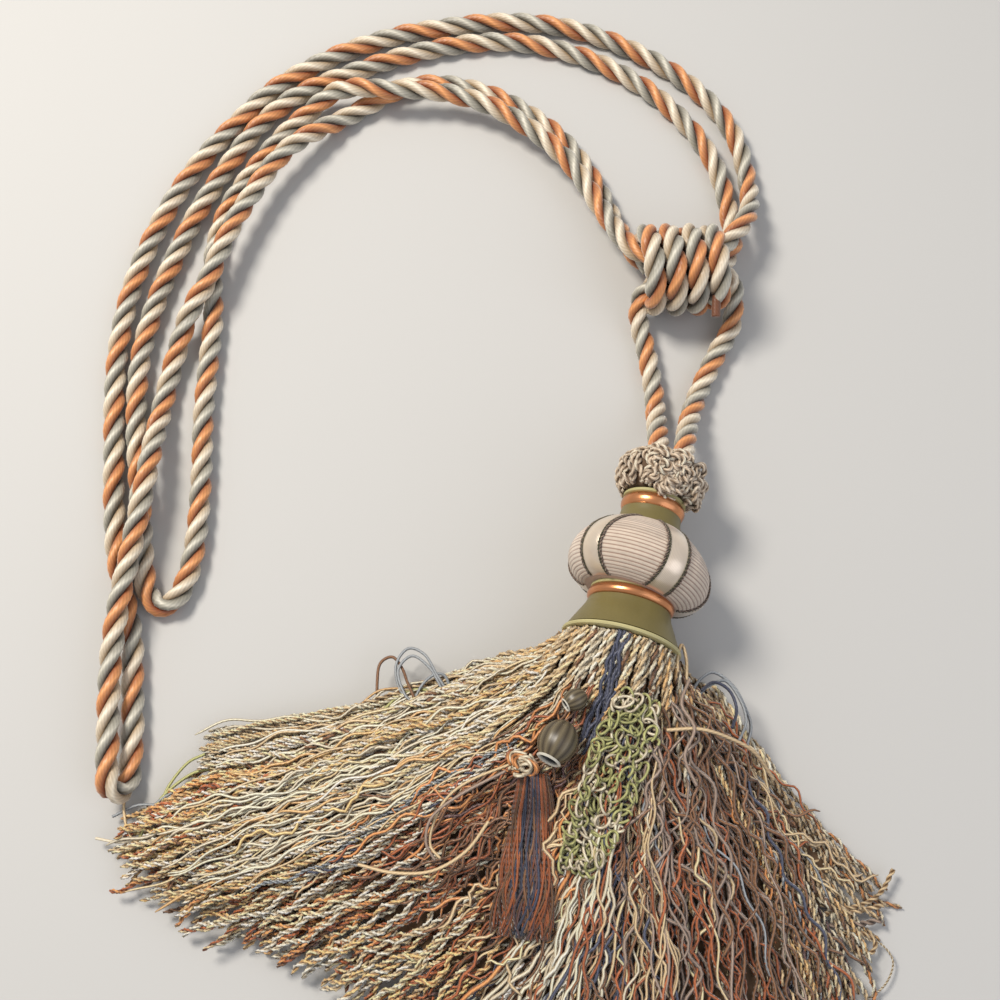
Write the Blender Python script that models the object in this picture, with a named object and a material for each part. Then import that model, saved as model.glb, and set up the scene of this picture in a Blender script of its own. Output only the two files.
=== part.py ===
"""Curtain tieback lying flat: a twisted rope doubled into two loops, bound by a barrel knot,
whose two legs carry a turned tassel head with a full cut and bullion skirt.

Lengths in the tables are millimetres. +Z is up, the surface it lies on is z = 0, and the origin
is under the middle of the tassel (ruff, head and skirt together).
"""

import math

import bmesh
import bpy
from mathutils import Matrix, Vector
from mathutils.bvhtree import BVHTree

MM = 0.001
GAP = 0.3

# ---- Rope ------------------------------------------------------------------------------------
ROPE_DIAMETER = 9.0
ROPE_STEP = 19.0  # longest run between two points of a tube
ROPE_TURN = math.radians(22.0)  # most that a tube turns between two points
CURVE_STEP = 1.5  # spacing along the smooth curve from which the tube's points are taken

# The long loop: out of the knot's left end, down to the long bight, and back round the outside.
LONG_LOOP = [
    (57.0, 249.0, 9.2), (52.5, 262.0, 5.2), (46.5, 278.0, 4.7), (39.0, 293.5, 4.7),
    (28.5, 308.5, 4.7), (14.5, 321.5, 4.7), (-3.0, 332.5, 4.7), (-22.0, 338.5, 4.7),
    (-38.0, 339.0, 4.7), (-50.5, 335.0, 4.7), (-62.0, 327.5, 4.7), (-74.5, 318.5, 5.4),
    (-85.5, 309.0, 9.6), (-96.5, 298.0, 13.0), (-106.0, 285.0, 13.2), (-113.8, 269.5, 13.6),
    (-119.0, 258.0, 14.2), (-124.2, 243.0, 14.4), (-129.0, 226.5, 14.4), (-136.0, 211.5, 12.5),
    (-141.2, 197.5, 6.8), (-144.4, 182.0, 4.7), (-146.0, 166.0, 6.0), (-146.5, 149.0, 11.0),
    (-147.1, 131.0, 14.4), (-148.7, 114.0, 14.4), (-150.4, 97.0, 14.4), (-152.3, 80.0, 14.4),
    (-153.4, 60.5, 13.4), (-152.8, 42.0, 12.8), (-151.4, 27.0, 12.8), (-150.6, 18.0, 13.2),
    (-150.0, 10.8, 13.2), (-148.5, 6.0, 11.1), (-145.5, 6.0, 6.9), (-144.0, 10.8, 4.8),
    (-143.9, 18.0, 4.7), (-144.6, 32.0, 4.7), (-146.6, 50.0, 4.7), (-148.8, 68.0, 4.7),
    (-154.0, 86.0, 4.7), (-159.0, 104.0, 4.7), (-162.4, 126.0, 4.7), (-164.9, 149.0, 4.7),
    (-167.4, 173.0, 4.7), (-168.3, 196.0, 4.7), (-167.0, 217.0, 4.7), (-163.5, 237.0, 4.7),
    (-157.4, 258.0, 4.7), (-148.8, 279.5, 4.7), (-137.4, 299.8, 4.7), (-123.8, 318.2, 4.7),
    (-110.0, 335.0, 4.7), (-92.5, 348.5, 4.7), (-73.0, 359.5, 4.7), (-49.5, 368.5, 4.7),
    (-29.0, 372.8, 4.7), (-7.0, 376.0, 4.7), (15.0, 376.0, 4.7), (39.0, 371.2, 4.7),
    (63.5, 360.0, 4.7), (85.0, 345.0, 4.7), (101.5, 327.0, 4.7), (111.5, 307.0, 4.7),
    (115.0, 285.0, 5.0), (113.8, 267.0, 11.0), (109.4, 254.5, 17.6), (102.0, 243.8, 20.4),
]

# The short loop: over the long one on the lower arch, then under it to the short bight.
SHORT_LOOP = [
    (56.2, 241.2, 20.5), (50.8, 252.0, 17.0), (44.5, 266.0, 13.8), (36.0, 282.5, 13.2),
    (25.0, 297.0, 13.2), (11.5, 309.5, 13.2), (-5.0, 320.5, 13.2), (-23.5, 327.0, 13.2),
    (-40.0, 328.5, 14.4), (-54.0, 328.5, 14.4), (-66.0, 330.0, 14.2), (-78.5, 330.0, 10.4),
    (-90.5, 322.5, 5.6), (-101.0, 311.5, 4.7), (-111.0, 297.0, 4.7), (-119.0, 283.0, 4.7),
    (-124.8, 271.0, 4.7), (-128.3, 258.0, 4.7), (-130.0, 244.5, 4.7), (-129.2, 229.0, 4.7),
    (-127.6, 211.0, 4.7), (-128.0, 187.0, 4.7), (-128.0, 163.0, 4.7), (-126.8, 143.0, 4.7),
    (-126.2, 118.0, 4.7), (-127.0, 102.0, 4.7), (-128.8, 91.5, 4.7), (-133.0, 82.4, 4.7),
    (-139.4, 80.4, 4.7), (-144.4, 86.5, 4.7), (-147.2, 99.0, 4.7), (-149.8, 116.0, 4.7),
    (-153.2, 137.5, 4.7), (-156.3, 158.0, 4.7), (-157.9, 177.0, 4.7), (-157.7, 196.5, 4.7),
    (-154.2, 219.0, 4.7), (-148.6, 240.0, 4.7), (-140.3, 265.0, 4.7), (-130.4, 286.5, 4.7),
    (-115.6, 313.2, 4.7), (-96.8, 333.0, 4.7), (-72.5, 345.5, 4.7), (-48.0, 355.5, 4.7),
    (-24.0, 362.0, 4.7), (0.0, 364.5, 4.7), (23.0, 361.5, 4.7), (48.5, 351.5, 4.7),
    (71.5, 335.5, 4.7), (89.0, 315.5, 4.7), (99.5, 296.0, 4.7), (104.2, 277.0, 4.7),
    (105.6, 262.0, 5.4), (105.6, 249.5, 7.8), (102.2, 240.2, 10.0),
]

LEFT_LEG = [
    (62.0, 206.8, 6.2), (64.4, 196.0, 4.8), (66.0, 184.5, 4.7), (66.9, 174.5, 5.0),
    (66.8, 163.4, 8.4), (66.0, 151.2, 16.0), (65.4, 141.6, 22.4),
]

RIGHT_LEG = [
    (103.0, 225.0, 12.6), (103.4, 214.5, 8.8), (101.6, 205.5, 6.0), (95.8, 195.5, 4.7),
    (90.6, 185.0, 4.7), (85.8, 174.5, 5.0), (81.6, 163.4, 9.0), (78.0, 151.2, 16.6),
    (75.9, 142.6, 22.4),
]

# ---- Barrel knot -----------------------------------------------------------------------------
KNOT_CENTRE = (79.0, 228.0, 19.9)
KNOT_TURNS = 4
KNOT_PITCH = 9.2
KNOT_CORE_RADIUS = 15.6
KNOT_SEGMENTS = 32
KNOT_STEPS_PER_TURN = 7

# ---- Tassel head -----------------------------------------------------------------------------
BULB_CENTRE = (54.0, 88.0, 28.2)
AXIS_LEAN = math.radians(15.0)  # in plan, from -Y towards -X
AXIS_PITCH = math.radians(2.5)  # the skirt end is the higher one
HEAD_SEGMENTS = 40

BULB_SEGMENTS = 100
RIBBONS = 5
RIBBON_HALF_WIDTH = math.radians(8.3)
RIBBON_PHASE = math.radians(25.5)  # first ribbon, measured from the top towards +X
RIBBON_THICKNESS = 0.8
RIBBON_GROOVE = 0.5  # how far the bulb draws in under each ribbon

# Turned profiles as (station along the axis from the bulb's centre, radius).
BULB_PROFILE = [
    (-17.9, 11.8), (-16.8, 15.0), (-14.2, 19.2), (-11.0, 22.8), (-7.5, 25.6), (-3.8, 27.3),
    (0.0, 27.9), (3.4, 27.4), (6.2, 25.9), (8.4, 23.7), (9.9, 21.4), (10.7, 19.4),
]
BULB_DIMPLE = [(10.9, 18.2), (10.6, 17.4), (10.0, 17.0)]
RUFF_PROFILE = [
    (-50.8, 0.0), (-50.8, 6.0), (-49.4, 11.5), (-46.6, 15.4), (-42.8, 17.6),
    (-38.4, 17.9), (-34.8, 16.6), (-32.4, 14.0), (-31.4, 10.5), (-31.4, 0.0),
]
RUFF_LOBES = 10
RUFF_LOBE_DEPTH = 0.06

UPPER_COLLAR_PROFILE = [
    (-31.1, 0.0), (-31.1, 11.6), (-30.6, 12.4), (-29.6, 12.4), (-29.3, 11.6),
    (-29.3, 10.2), (-24.2, 10.2), (-24.2, 12.0), (-21.6, 12.3), (-18.2, 13.3), (-18.2, 0.0),
]
UPPER_RING_PROFILE = [
    (-29.0, 10.5), (-29.0, 11.9), (-28.2, 12.7), (-25.3, 12.7), (-24.5, 12.1), (-24.5, 10.5),
]
LOWER_COLLAR_PROFILE = [
    (10.4, 0.0), (10.4, 15.4), (10.7, 16.1), (11.1, 16.1), (11.3, 15.6), (11.3, 13.4),
    (15.6, 13.4), (15.6, 16.2), (18.5, 17.1), (24.0, 19.9), (29.0, 22.4), (29.0, 0.0),
]
LOWER_RING_PROFILE = [
    (11.6, 13.7), (11.6, 16.2), (12.4, 17.1), (14.5, 17.1), (15.3, 16.2), (15.3, 13.7),
]
RIM_PROFILE = [
    (29.3, 0.0), (29.3, 22.4), (29.6, 23.1), (30.2, 23.3), (30.8, 23.0), (31.0, 22.2), (31.0, 0.0),
]

# ---- Skirt -----------------------------------------------------------------------------------
SKIRT_ROOT_STATION = 31.3
SKIRT_ROOT_RADIUS = 21.5
SKIRT_ROOT_OPENING = math.radians(4.0)  # keeps the upper and lower halves apart at the sides
SKIRT_STATIONS = [0.0, 0.07, 0.15, 0.24, 0.34, 0.45, 0.56, 0.67, 0.78, 0.88, 0.95, 1.0]
SKIRT_SAMPLES_PER_LOCK = 4
SKIRT_BED = 0.22  # the share of the length in which the underside comes down to the surface
SKIRT_RIDGE = 1.6  # height of the ridge along each lock
SKIRT_TOOTH = 7.0  # how far the comb's gaps run in from the tips

# Each lock of the fan from its left edge to its right one: plan position of a point at a third
# and at two thirds of its length, its tip, and the height of its crown at the two points and tip.
LOCK_COLUMNS = ("x1", "y1", "x2", "y2", "tip_x", "tip_y", "crown1", "crown2", "crown_tip")
LOCKS = [
    (-11.0, 53.0, -60.0, 37.0, -121.0, 28.0, 14.0, 12.0, 7.0),
    (-6.0, 47.0, -62.0, 26.0, -119.0, 14.0, 25.0, 17.0, 8.0),
    (-1.0, 40.0, -66.0, 15.0, -147.0, -8.0, 33.0, 21.0, 8.0),
    (6.0, 32.0, -58.0, 2.0, -146.0, -28.0, 38.0, 23.0, 8.0),
    (14.0, 24.0, -44.0, -12.0, -115.0, -44.0, 41.0, 25.0, 9.0),
    (22.0, 16.0, -24.0, -26.0, -76.0, -56.0, 42.0, 26.0, 9.0),
    (32.0, 9.0, 2.0, -44.0, -42.0, -82.0, 43.0, 26.0, 9.0),
    (42.0, 5.0, 28.0, -58.0, 5.0, -120.0, 43.0, 26.0, 9.0),
    (54.0, 5.0, 56.0, -62.0, 50.0, -138.5, 42.0, 25.0, 9.0),
    (67.0, 12.0, 82.0, -50.0, 94.0, -124.0, 38.0, 23.0, 8.0),
    (79.0, 24.0, 103.0, -28.0, 126.0, -92.0, 31.0, 19.0, 8.0),
    (87.0, 39.0, 112.0, 3.0, 149.0, -31.0, 17.0, 12.0, 6.0),
]

# ---- Trimmings that lie on the skirt ---------------------------------------------------------
TRIM_CLEARANCE = 1.0
GIMP_THICKNESS = 3.0
GIMP_LINE = [(56.0, 31.0), (49.0, 15.0), (41.5, -2.0), (35.0, -18.0), (29.5, -32.0)]
GIMP_WIDTHS = [15.0, 22.0, 23.0, 20.0, 13.0]
MINI_HEAD = (20.5, 18.5, 8.2, 7.0)  # plan position, length radius, cross radius
MINI_BEAD = (27.0, 33.5, 4.4, 4.0)
MINI_HEAD_TURN = math.radians(-28.0)
MINI_SKIRT_THICKNESS = 5.0
MINI_SKIRT_LINE = [(12.5, 8.5), (12.0, -6.0), (9.5, -22.0), (6.0, -36.0), (3.5, -48.0)]
MINI_SKIRT_WIDTHS = [7.0, 11.0, 14.0, 17.0, 19.0]


# ---- Materials -------------------------------------------------------------------------------
def material(name, colour, roughness, metallic=0.0):
    made = bpy.data.materials.new(name)
    made.use_nodes = True
    shader = made.node_tree.nodes["Principled BSDF"]
    shader.inputs["Base Color"].default_value = (*colour, 1.0)
    shader.inputs["Roughness"].default_value = roughness
    shader.inputs["Metallic"].default_value = metallic
    return made


# ---- Mesh helpers ----------------------------------------------------------------------------
def add_object(name, points, faces, look, parent=None, smooth=True):
    """One closed mesh object from points in millimetres."""
    mesh = bpy.data.meshes.new(name)
    mesh.from_pydata([Vector(point) * MM for point in points], [], faces)
    edit = bmesh.new()
    edit.from_mesh(mesh)
    bmesh.ops.recalc_face_normals(edit, faces=edit.faces)
    edit.to_mesh(mesh)
    edit.free()
    if smooth:
        mesh.shade_smooth()
        mesh.set_sharp_from_angle(angle=math.radians(35.0))
    mesh.materials.append(look)
    made = bpy.data.objects.new(name, mesh)
    made.parent = parent
    bpy.context.scene.collection.objects.link(made)
    return made


def loft(rings, closed_loop=False):
    """Faces between successive rings of equal size, capped, or joined end to end."""
    count = len(rings[0])
    points = [point for ring in rings for point in ring]
    faces = []
    last = len(rings) if closed_loop else len(rings) - 1
    for row in range(last):
        here = row * count
        there = (row + 1) % len(rings) * count
        for i in range(count):
            j = (i + 1) % count
            faces.append((here + i, here + j, there + j, there + i))
    if not closed_loop:
        faces.append(tuple(range(count)))
        faces.append(tuple(range((len(rings) - 1) * count, len(rings) * count)))
    return points, faces


def smooth_curve(route, step):
    """Points about `step` apart on the Catmull-Rom curve through the route, with their slopes."""
    points = [Vector(point) for point in route]
    ends = [points[0] * 2 - points[1], *points, points[-1] * 2 - points[-2]]
    made = []
    for i in range(1, len(ends) - 2):
        a, b, c, d = ends[i - 1 : i + 3]
        pieces = max(2, round((c - b).length / step))
        for k in range(pieces):
            t = k / pieces
            made.append(
                0.5 * (2 * b + (c - a) * t + (2 * a - 5 * b + 4 * c - d) * t**2
                       + (3 * b - a - 3 * c + d) * t**3)
            )
    made.append(points[-1])
    return made


def thinned(curve):
    """The curve's points that a tube needs: more of them where it turns."""
    kept = [curve[0]]
    heading = (curve[1] - curve[0]).normalized()
    run = 0.0
    for i in range(1, len(curve) - 1):
        run += (curve[i] - curve[i - 1]).length
        ahead = (curve[i + 1] - curve[i]).normalized()
        if run >= ROPE_STEP or heading.angle(ahead) >= ROPE_TURN:
            kept.append(curve[i])
            heading = ahead
            run = 0.0
    if (kept[-1] - curve[-1]).length < ROPE_DIAMETER / 3 and len(kept) > 2:
        kept.pop()
    kept.append(curve[-1])
    return kept


def add_rope(name, route, look):
    """A round tube along the route, with filled caps."""
    points = thinned(smooth_curve(route, CURVE_STEP))
    curve = bpy.data.curves.new(name, "CURVE")
    curve.dimensions = "3D"
    curve.bevel_depth = ROPE_DIAMETER / 2 * MM
    curve.bevel_resolution = 3
    curve.use_fill_caps = True
    spline = curve.splines.new("POLY")
    spline.points.add(len(points) - 1)
    for spot, point in zip(spline.points, points):
        spot.co = (*(point * MM), 1.0)
    curve.materials.append(look)
    made = bpy.data.objects.new(name, curve)
    bpy.context.scene.collection.objects.link(made)
    return made


# ---- Knot ------------------------------------------------------------------------------------
def add_knot(look):
    """The barrel of turns as one screw-shaped solid, flat where it rests."""
    centre = Vector(KNOT_CENTRE)
    length = KNOT_TURNS * KNOT_PITCH
    steps = KNOT_TURNS * KNOT_STEPS_PER_TURN
    rings = []
    for row in range(steps + 1):
        along = -length / 2 + length * row / steps
        ring = []
        for column in range(KNOT_SEGMENTS):
            turn = column / KNOT_SEGMENTS
            phase = (along / KNOT_PITCH - turn) % 1.0
            crest = math.sqrt(max(0.0, 1 - (2 * phase - 1) ** 2))
            radius = KNOT_CORE_RADIUS + crest * ROPE_DIAMETER / 2
            angle = 2 * math.pi * turn
            ring.append(
                (centre.x + along,
                 centre.y + radius * math.cos(angle),
                 max(0.0, centre.z + radius * math.sin(angle)))
            )
        rings.append(ring)
    points, faces = loft(rings)
    return add_object("knot_wrap", points, faces, look)


# ---- Head ------------------------------------------------------------------------------------
def head_frame():
    """The head's own axes in the world: local Z towards the skirt, local Y upwards."""
    along = Vector((
        -math.sin(AXIS_LEAN) * math.cos(AXIS_PITCH),
        -math.cos(AXIS_LEAN) * math.cos(AXIS_PITCH),
        math.sin(AXIS_PITCH),
    ))
    side = Vector((0.0, 0.0, 1.0)).cross(along).normalized()
    up = along.cross(side)
    turned = Matrix((side, up, along)).transposed().to_4x4()
    return Matrix.Translation(Vector(BULB_CENTRE)) @ turned


def rest_flat(frame, point):
    """A head point moved up to the surface, if it would be below it."""
    place = frame @ Vector(point)
    if place.z >= 0:
        return point
    return frame.inverted() @ Vector((place.x, place.y, 0.0))


def add_turned(name, profile, look, parent, frame, lobes=0, lobe_depth=0.0, closed_loop=False):
    """A solid of revolution about the head's axis, with lobes round it if asked."""
    rings = []
    for station, radius in profile:
        ring = []
        for i in range(HEAD_SEGMENTS):
            angle = 2 * math.pi * i / HEAD_SEGMENTS
            swell = 1 + lobe_depth * math.cos(lobes * angle)
            spot = (radius * swell * math.sin(angle), radius * swell * math.cos(angle), station)
            ring.append(rest_flat(frame, spot))
        rings.append(ring)
    if not closed_loop:
        rings = [ring for ring, (_, radius) in zip(rings, profile) if radius > 0]
    points, faces = loft(rings, closed_loop)
    return add_object(name, points, faces, look, parent)


def ribbon_angle(index):
    return RIBBON_PHASE + 2 * math.pi * index / RIBBONS


def groove(angle):
    """How far the bulb draws in at this angle: most under the middle of a ribbon."""
    nearest = min(
        abs((angle - ribbon_angle(k) + math.pi) % (2 * math.pi) - math.pi) for k in range(RIBBONS)
    )
    return RIBBON_GROOVE if nearest < RIBBON_HALF_WIDTH * 1.25 else 0.0


def add_bulb(look, parent, frame):
    rings = []
    for station, radius in BULB_PROFILE + BULB_DIMPLE:
        ring = []
        for i in range(BULB_SEGMENTS):
            angle = 2 * math.pi * i / BULB_SEGMENTS
            drawn = radius - groove(angle)
            ring.append(
                rest_flat(frame, (drawn * math.sin(angle), drawn * math.cos(angle), station))
            )
        rings.append(ring)
    points, faces = loft(rings)
    return add_object("bulb", points, faces, look, parent)


def add_ribbon(index, look, parent, frame):
    """A satin strip from pole to pole over its groove in the bulb."""
    middle = ribbon_angle(index)
    profile = BULB_PROFILE[1:]
    across = 4
    rings = []
    for i, (station, radius) in enumerate(profile):
        before = profile[max(0, i - 1)]
        after = profile[min(len(profile) - 1, i + 1)]
        run = Vector((after[0] - before[0], after[1] - before[1])).normalized()
        out_station, out_radius = -run.y, run.x
        ring = []
        for lift in (GAP, GAP + RIBBON_THICKNESS):
            row = []
            for k in range(across + 1):
                angle = middle + RIBBON_HALF_WIDTH * (2 * k / across - 1)
                r = radius - RIBBON_GROOVE + lift * out_radius
                s = station + lift * out_station
                spot = (r * math.sin(angle), r * math.cos(angle), s)
                row.append(spot)
            ring += row if lift == GAP else row[::-1]
        rings.append([rest_flat(frame, spot) for spot in ring])
    points, faces = loft(rings)
    return add_object(f"bulb_ribbon_{index + 1}", points, faces, look, parent)


# ---- Skirt -----------------------------------------------------------------------------------
def lock_value(column, across):
    """A column of the lock table, read smoothly at `across` from 0 (left) to 1 (right)."""
    index = LOCK_COLUMNS.index(column)
    values = [row[index] for row in LOCKS]
    place = across * (len(values) - 1)
    i = min(int(place), len(values) - 2)
    t = place - i
    b, c = values[i], values[i + 1]
    a = values[i - 1] if i else 2 * b - c
    d = values[i + 2] if i + 2 < len(values) else 2 * c - b
    return 0.5 * (2 * b + (c - a) * t + (2 * a - 5 * b + 4 * c - d) * t**2
                  + (3 * b - a - 3 * c + d) * t**3)


def along_four(values, t):
    """A smooth run through four values at t = 0, 1/3, 2/3 and 1, led in by a fifth before them."""
    lead, *stops = values
    ends = [lead, *stops, 2 * stops[-1] - stops[-2]]
    place = t * 3
    i = min(int(place), 2)
    f = place - i
    a, b, c, d = ends[i : i + 4]
    return 0.5 * (2 * b + (c - a) * f + (2 * a - 5 * b + 4 * c - d) * f**2
                  + (3 * b - a - 3 * c + d) * f**3)


def skirt_point(frame, across, t, upper):
    """A point of the skirt's upper or lower surface: across the fan and along the strands."""
    angle = SKIRT_ROOT_OPENING + across * (math.pi - 2 * SKIRT_ROOT_OPENING)
    lift = math.sin(angle) * (1 if upper else -1)
    spread = -math.cos(angle)
    root = frame @ Vector(
        (spread * SKIRT_ROOT_RADIUS, lift * SKIRT_ROOT_RADIUS, SKIRT_ROOT_STATION)
    )
    behind = frame @ Vector(
        (spread * SKIRT_ROOT_RADIUS, lift * SKIRT_ROOT_RADIUS, SKIRT_ROOT_STATION - 40.0)
    )
    x = along_four([behind.x, root.x] + [lock_value(c, across) for c in ("x1", "x2", "tip_x")], t)
    y = along_four([behind.y, root.y] + [lock_value(c, across) for c in ("y1", "y2", "tip_y")], t)
    if upper:
        heights = [lock_value(c, across) for c in ("crown1", "crown2", "crown_tip")]
        z = along_four([root.z, root.z, *heights], t)
        ridge = math.cos(2 * math.pi * across * (len(LOCKS) - 1))
        z += SKIRT_RIDGE * ridge * math.sin(math.pi * t)
    else:
        fall = min(1.0, t / SKIRT_BED)
        z = root.z * (1 - fall * fall * (3 - 2 * fall))
    return Vector((x, y, z))


def add_skirt(look, frame):
    """The whole fan as one solid, with a comb of teeth along its tips."""
    samples = (len(LOCKS) - 1) * SKIRT_SAMPLES_PER_LOCK
    rings = []
    for t in SKIRT_STATIONS:
        upper, lower = [], []
        for i in range(samples + 1):
            across = i / samples
            over = skirt_point(frame, across, t, True)
            under = skirt_point(frame, across, t, False)
            if t == 1.0 and i % 2:
                before = skirt_point(frame, across, SKIRT_STATIONS[-2], True)
                back = (before - over).normalized() * SKIRT_TOOTH
                over += Vector((back.x, back.y, 0.0))
                under += Vector((back.x, back.y, 0.0))
            upper.append(tuple(over))
            lower.append(tuple(under))
        rings.append(upper + lower[::-1])
    count = len(rings[0])
    points, faces = loft(rings)
    faces.pop()
    tip = (len(rings) - 1) * count
    for i in range(samples):
        faces.append((tip + i, tip + i + 1, tip + count - 2 - i, tip + count - 1 - i))
    return add_object("skirt", points, faces, look)


# ---- Trimmings -------------------------------------------------------------------------------
def surface_height(tree, x, y):
    """Height of the skirt's upper side at a plan position, in millimetres."""
    hit = tree.ray_cast(Vector((x, y, 100.0)) * MM, Vector((0.0, 0.0, -1.0)))
    return hit[0].z / MM if hit[0] else 0.0


def add_strip(name, line, widths, thickness, look, tree):
    """A flat trimming that follows the skirt under it, with a crowned top."""
    path = smooth_curve([(x, y, 0.0) for x, y in line], 4.0)
    across = 6
    rings = []
    for i, spot in enumerate(path):
        share = i / (len(path) - 1) * (len(widths) - 1)
        k = min(int(share), len(widths) - 2)
        width = widths[k] + (widths[k + 1] - widths[k]) * (share - k)
        run = (path[min(i + 1, len(path) - 1)] - path[max(i - 1, 0)]).normalized()
        side = Vector((-run.y, run.x, 0.0))
        lower, upper = [], []
        for j in range(across + 1):
            place = spot + side * width * (j / across - 0.5)
            base = surface_height(tree, place.x, place.y) + TRIM_CLEARANCE
            crown = 0.35 + 0.65 * math.sin(math.pi * j / across)
            lower.append((place.x, place.y, base))
            upper.append((place.x, place.y, base + thickness * crown))
        rings.append(lower + upper[::-1])
    points, faces = loft(rings)
    return add_object(name, points, faces, look)


def add_bead(name, shape, look, tree):
    """A small egg-shaped tassel head lying on the skirt."""
    x, y, long_radius, cross_radius = shape
    reach = [(dx, dy) for dx in (-1, -0.5, 0, 0.5, 1) for dy in (-1, -0.5, 0, 0.5, 1)]
    top = max(
        surface_height(tree, x + dx * cross_radius, y + dy * cross_radius) for dx, dy in reach
    )
    edit = bmesh.new()
    bmesh.ops.create_uvsphere(edit, u_segments=20, v_segments=12, radius=MM)
    stretch = Matrix.Diagonal((cross_radius, long_radius, cross_radius * 0.85, 1.0))
    bmesh.ops.transform(edit, matrix=stretch, verts=edit.verts)
    mesh = bpy.data.meshes.new(name)
    edit.to_mesh(mesh)
    edit.free()
    mesh.shade_smooth()
    mesh.materials.append(look)
    made = bpy.data.objects.new(name, mesh)
    height = top + cross_radius * 0.85 + GAP
    made.matrix_world = (
        Matrix.Translation(Vector((x, y, height)) * MM) @ Matrix.Rotation(MINI_HEAD_TURN, 4, "Z")
    )
    bpy.context.scene.collection.objects.link(made)
    return made


# ---- Assembly --------------------------------------------------------------------------------
def main():
    for old in list(bpy.data.objects):
        bpy.data.objects.remove(old)

    rope = material("rope_yarn", (0.62, 0.42, 0.26), 0.5)
    mop = material("ruff_yarn", (0.60, 0.50, 0.38), 0.7)
    olive = material("olive_lacquer", (0.15, 0.12, 0.05), 0.4)
    copper = material("copper_band", (0.75, 0.38, 0.18), 0.3, 1.0)
    pale = material("pale_bead", (0.50, 0.47, 0.24), 0.45)
    ribbed = material("ribbed_cord", (0.78, 0.68, 0.56), 0.7)
    satin = material("satin_ribbon", (0.80, 0.76, 0.66), 0.35)
    yarn = material("skirt_yarn", (0.55, 0.40, 0.22), 0.7)
    green = material("gimp_yarn", (0.36, 0.37, 0.16), 0.7)
    dark = material("dark_yarn", (0.22, 0.13, 0.10), 0.7)

    add_rope("rope_long_loop", LONG_LOOP, rope)
    add_rope("rope_short_loop", SHORT_LOOP, rope)
    add_rope("rope_left_leg", LEFT_LEG, rope)
    add_rope("rope_right_leg", RIGHT_LEG, rope)
    add_knot(rope)

    head = bpy.data.objects.new("head_axis", None)
    bpy.context.scene.collection.objects.link(head)
    frame = head_frame()
    placed = frame.copy()
    placed.translation = frame.translation * MM
    head.matrix_world = placed

    add_turned("ruff", RUFF_PROFILE, mop, head, frame, RUFF_LOBES, RUFF_LOBE_DEPTH)
    add_turned("upper_collar", UPPER_COLLAR_PROFILE, olive, head, frame)
    add_turned("upper_ring", UPPER_RING_PROFILE, copper, head, frame, closed_loop=True)
    add_bulb(ribbed, head, frame)
    for index in range(RIBBONS):
        add_ribbon(index, satin, head, frame)
    add_turned("lower_collar", LOWER_COLLAR_PROFILE, olive, head, frame)
    add_turned("lower_ring", LOWER_RING_PROFILE, copper, head, frame, closed_loop=True)
    add_turned("rim_bead", RIM_PROFILE, pale, head, frame)

    skirt = add_skirt(yarn, frame)
    tree = BVHTree.FromPolygons(
        [vertex.co for vertex in skirt.data.vertices],
        [list(face.vertices) for face in skirt.data.polygons],
    )
    add_strip("gimp_lock", GIMP_LINE, GIMP_WIDTHS, GIMP_THICKNESS, green, tree)
    add_strip(
        "mini_tassel_skirt", MINI_SKIRT_LINE, MINI_SKIRT_WIDTHS, MINI_SKIRT_THICKNESS, dark, tree
    )
    add_bead("mini_tassel_head", MINI_HEAD, olive, tree)
    add_bead("mini_tassel_bead", MINI_BEAD, olive, tree)


main()
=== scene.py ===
"""Looks of a curtain tieback lying flat: twisted rope loops, a barrel knot and a tassel with a full skirt.

Lengths are metres, except in the tables that say millimetres. +Z is up, and the surface that the tieback
lies on is z = 0.
"""
import logging
import math
from dataclasses import dataclass, field
from enum import Enum

import bpy
import numpy as np
from bpy.types import ID, Material, Mesh, Node, NodeSocket, NodeTree, Object
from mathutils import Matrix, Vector


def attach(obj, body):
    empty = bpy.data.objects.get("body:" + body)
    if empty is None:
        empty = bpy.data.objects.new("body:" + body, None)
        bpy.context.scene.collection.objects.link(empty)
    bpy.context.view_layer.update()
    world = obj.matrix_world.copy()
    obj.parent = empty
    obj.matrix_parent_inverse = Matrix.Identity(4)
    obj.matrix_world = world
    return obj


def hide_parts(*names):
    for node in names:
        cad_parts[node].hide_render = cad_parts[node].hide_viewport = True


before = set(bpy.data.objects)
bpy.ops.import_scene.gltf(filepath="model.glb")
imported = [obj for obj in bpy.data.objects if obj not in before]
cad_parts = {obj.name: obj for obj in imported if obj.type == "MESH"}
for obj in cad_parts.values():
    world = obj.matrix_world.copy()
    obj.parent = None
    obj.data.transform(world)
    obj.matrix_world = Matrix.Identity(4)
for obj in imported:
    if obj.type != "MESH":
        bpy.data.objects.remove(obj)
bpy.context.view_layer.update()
LOG = logging.getLogger("tieback")
BODY = "root"
MM = 0.001
FULL_TURN = 2 * math.pi

Point = tuple[float, float, float]
Colour = tuple[float, float, float]
Outline = tuple[tuple[float, float], ...]
# Each ply's dye lit and shaded: its painted highlight and its painted shade colour.
PlyDyes = list[tuple[np.ndarray, np.ndarray]]  # crest and groove colour of each ply

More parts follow.
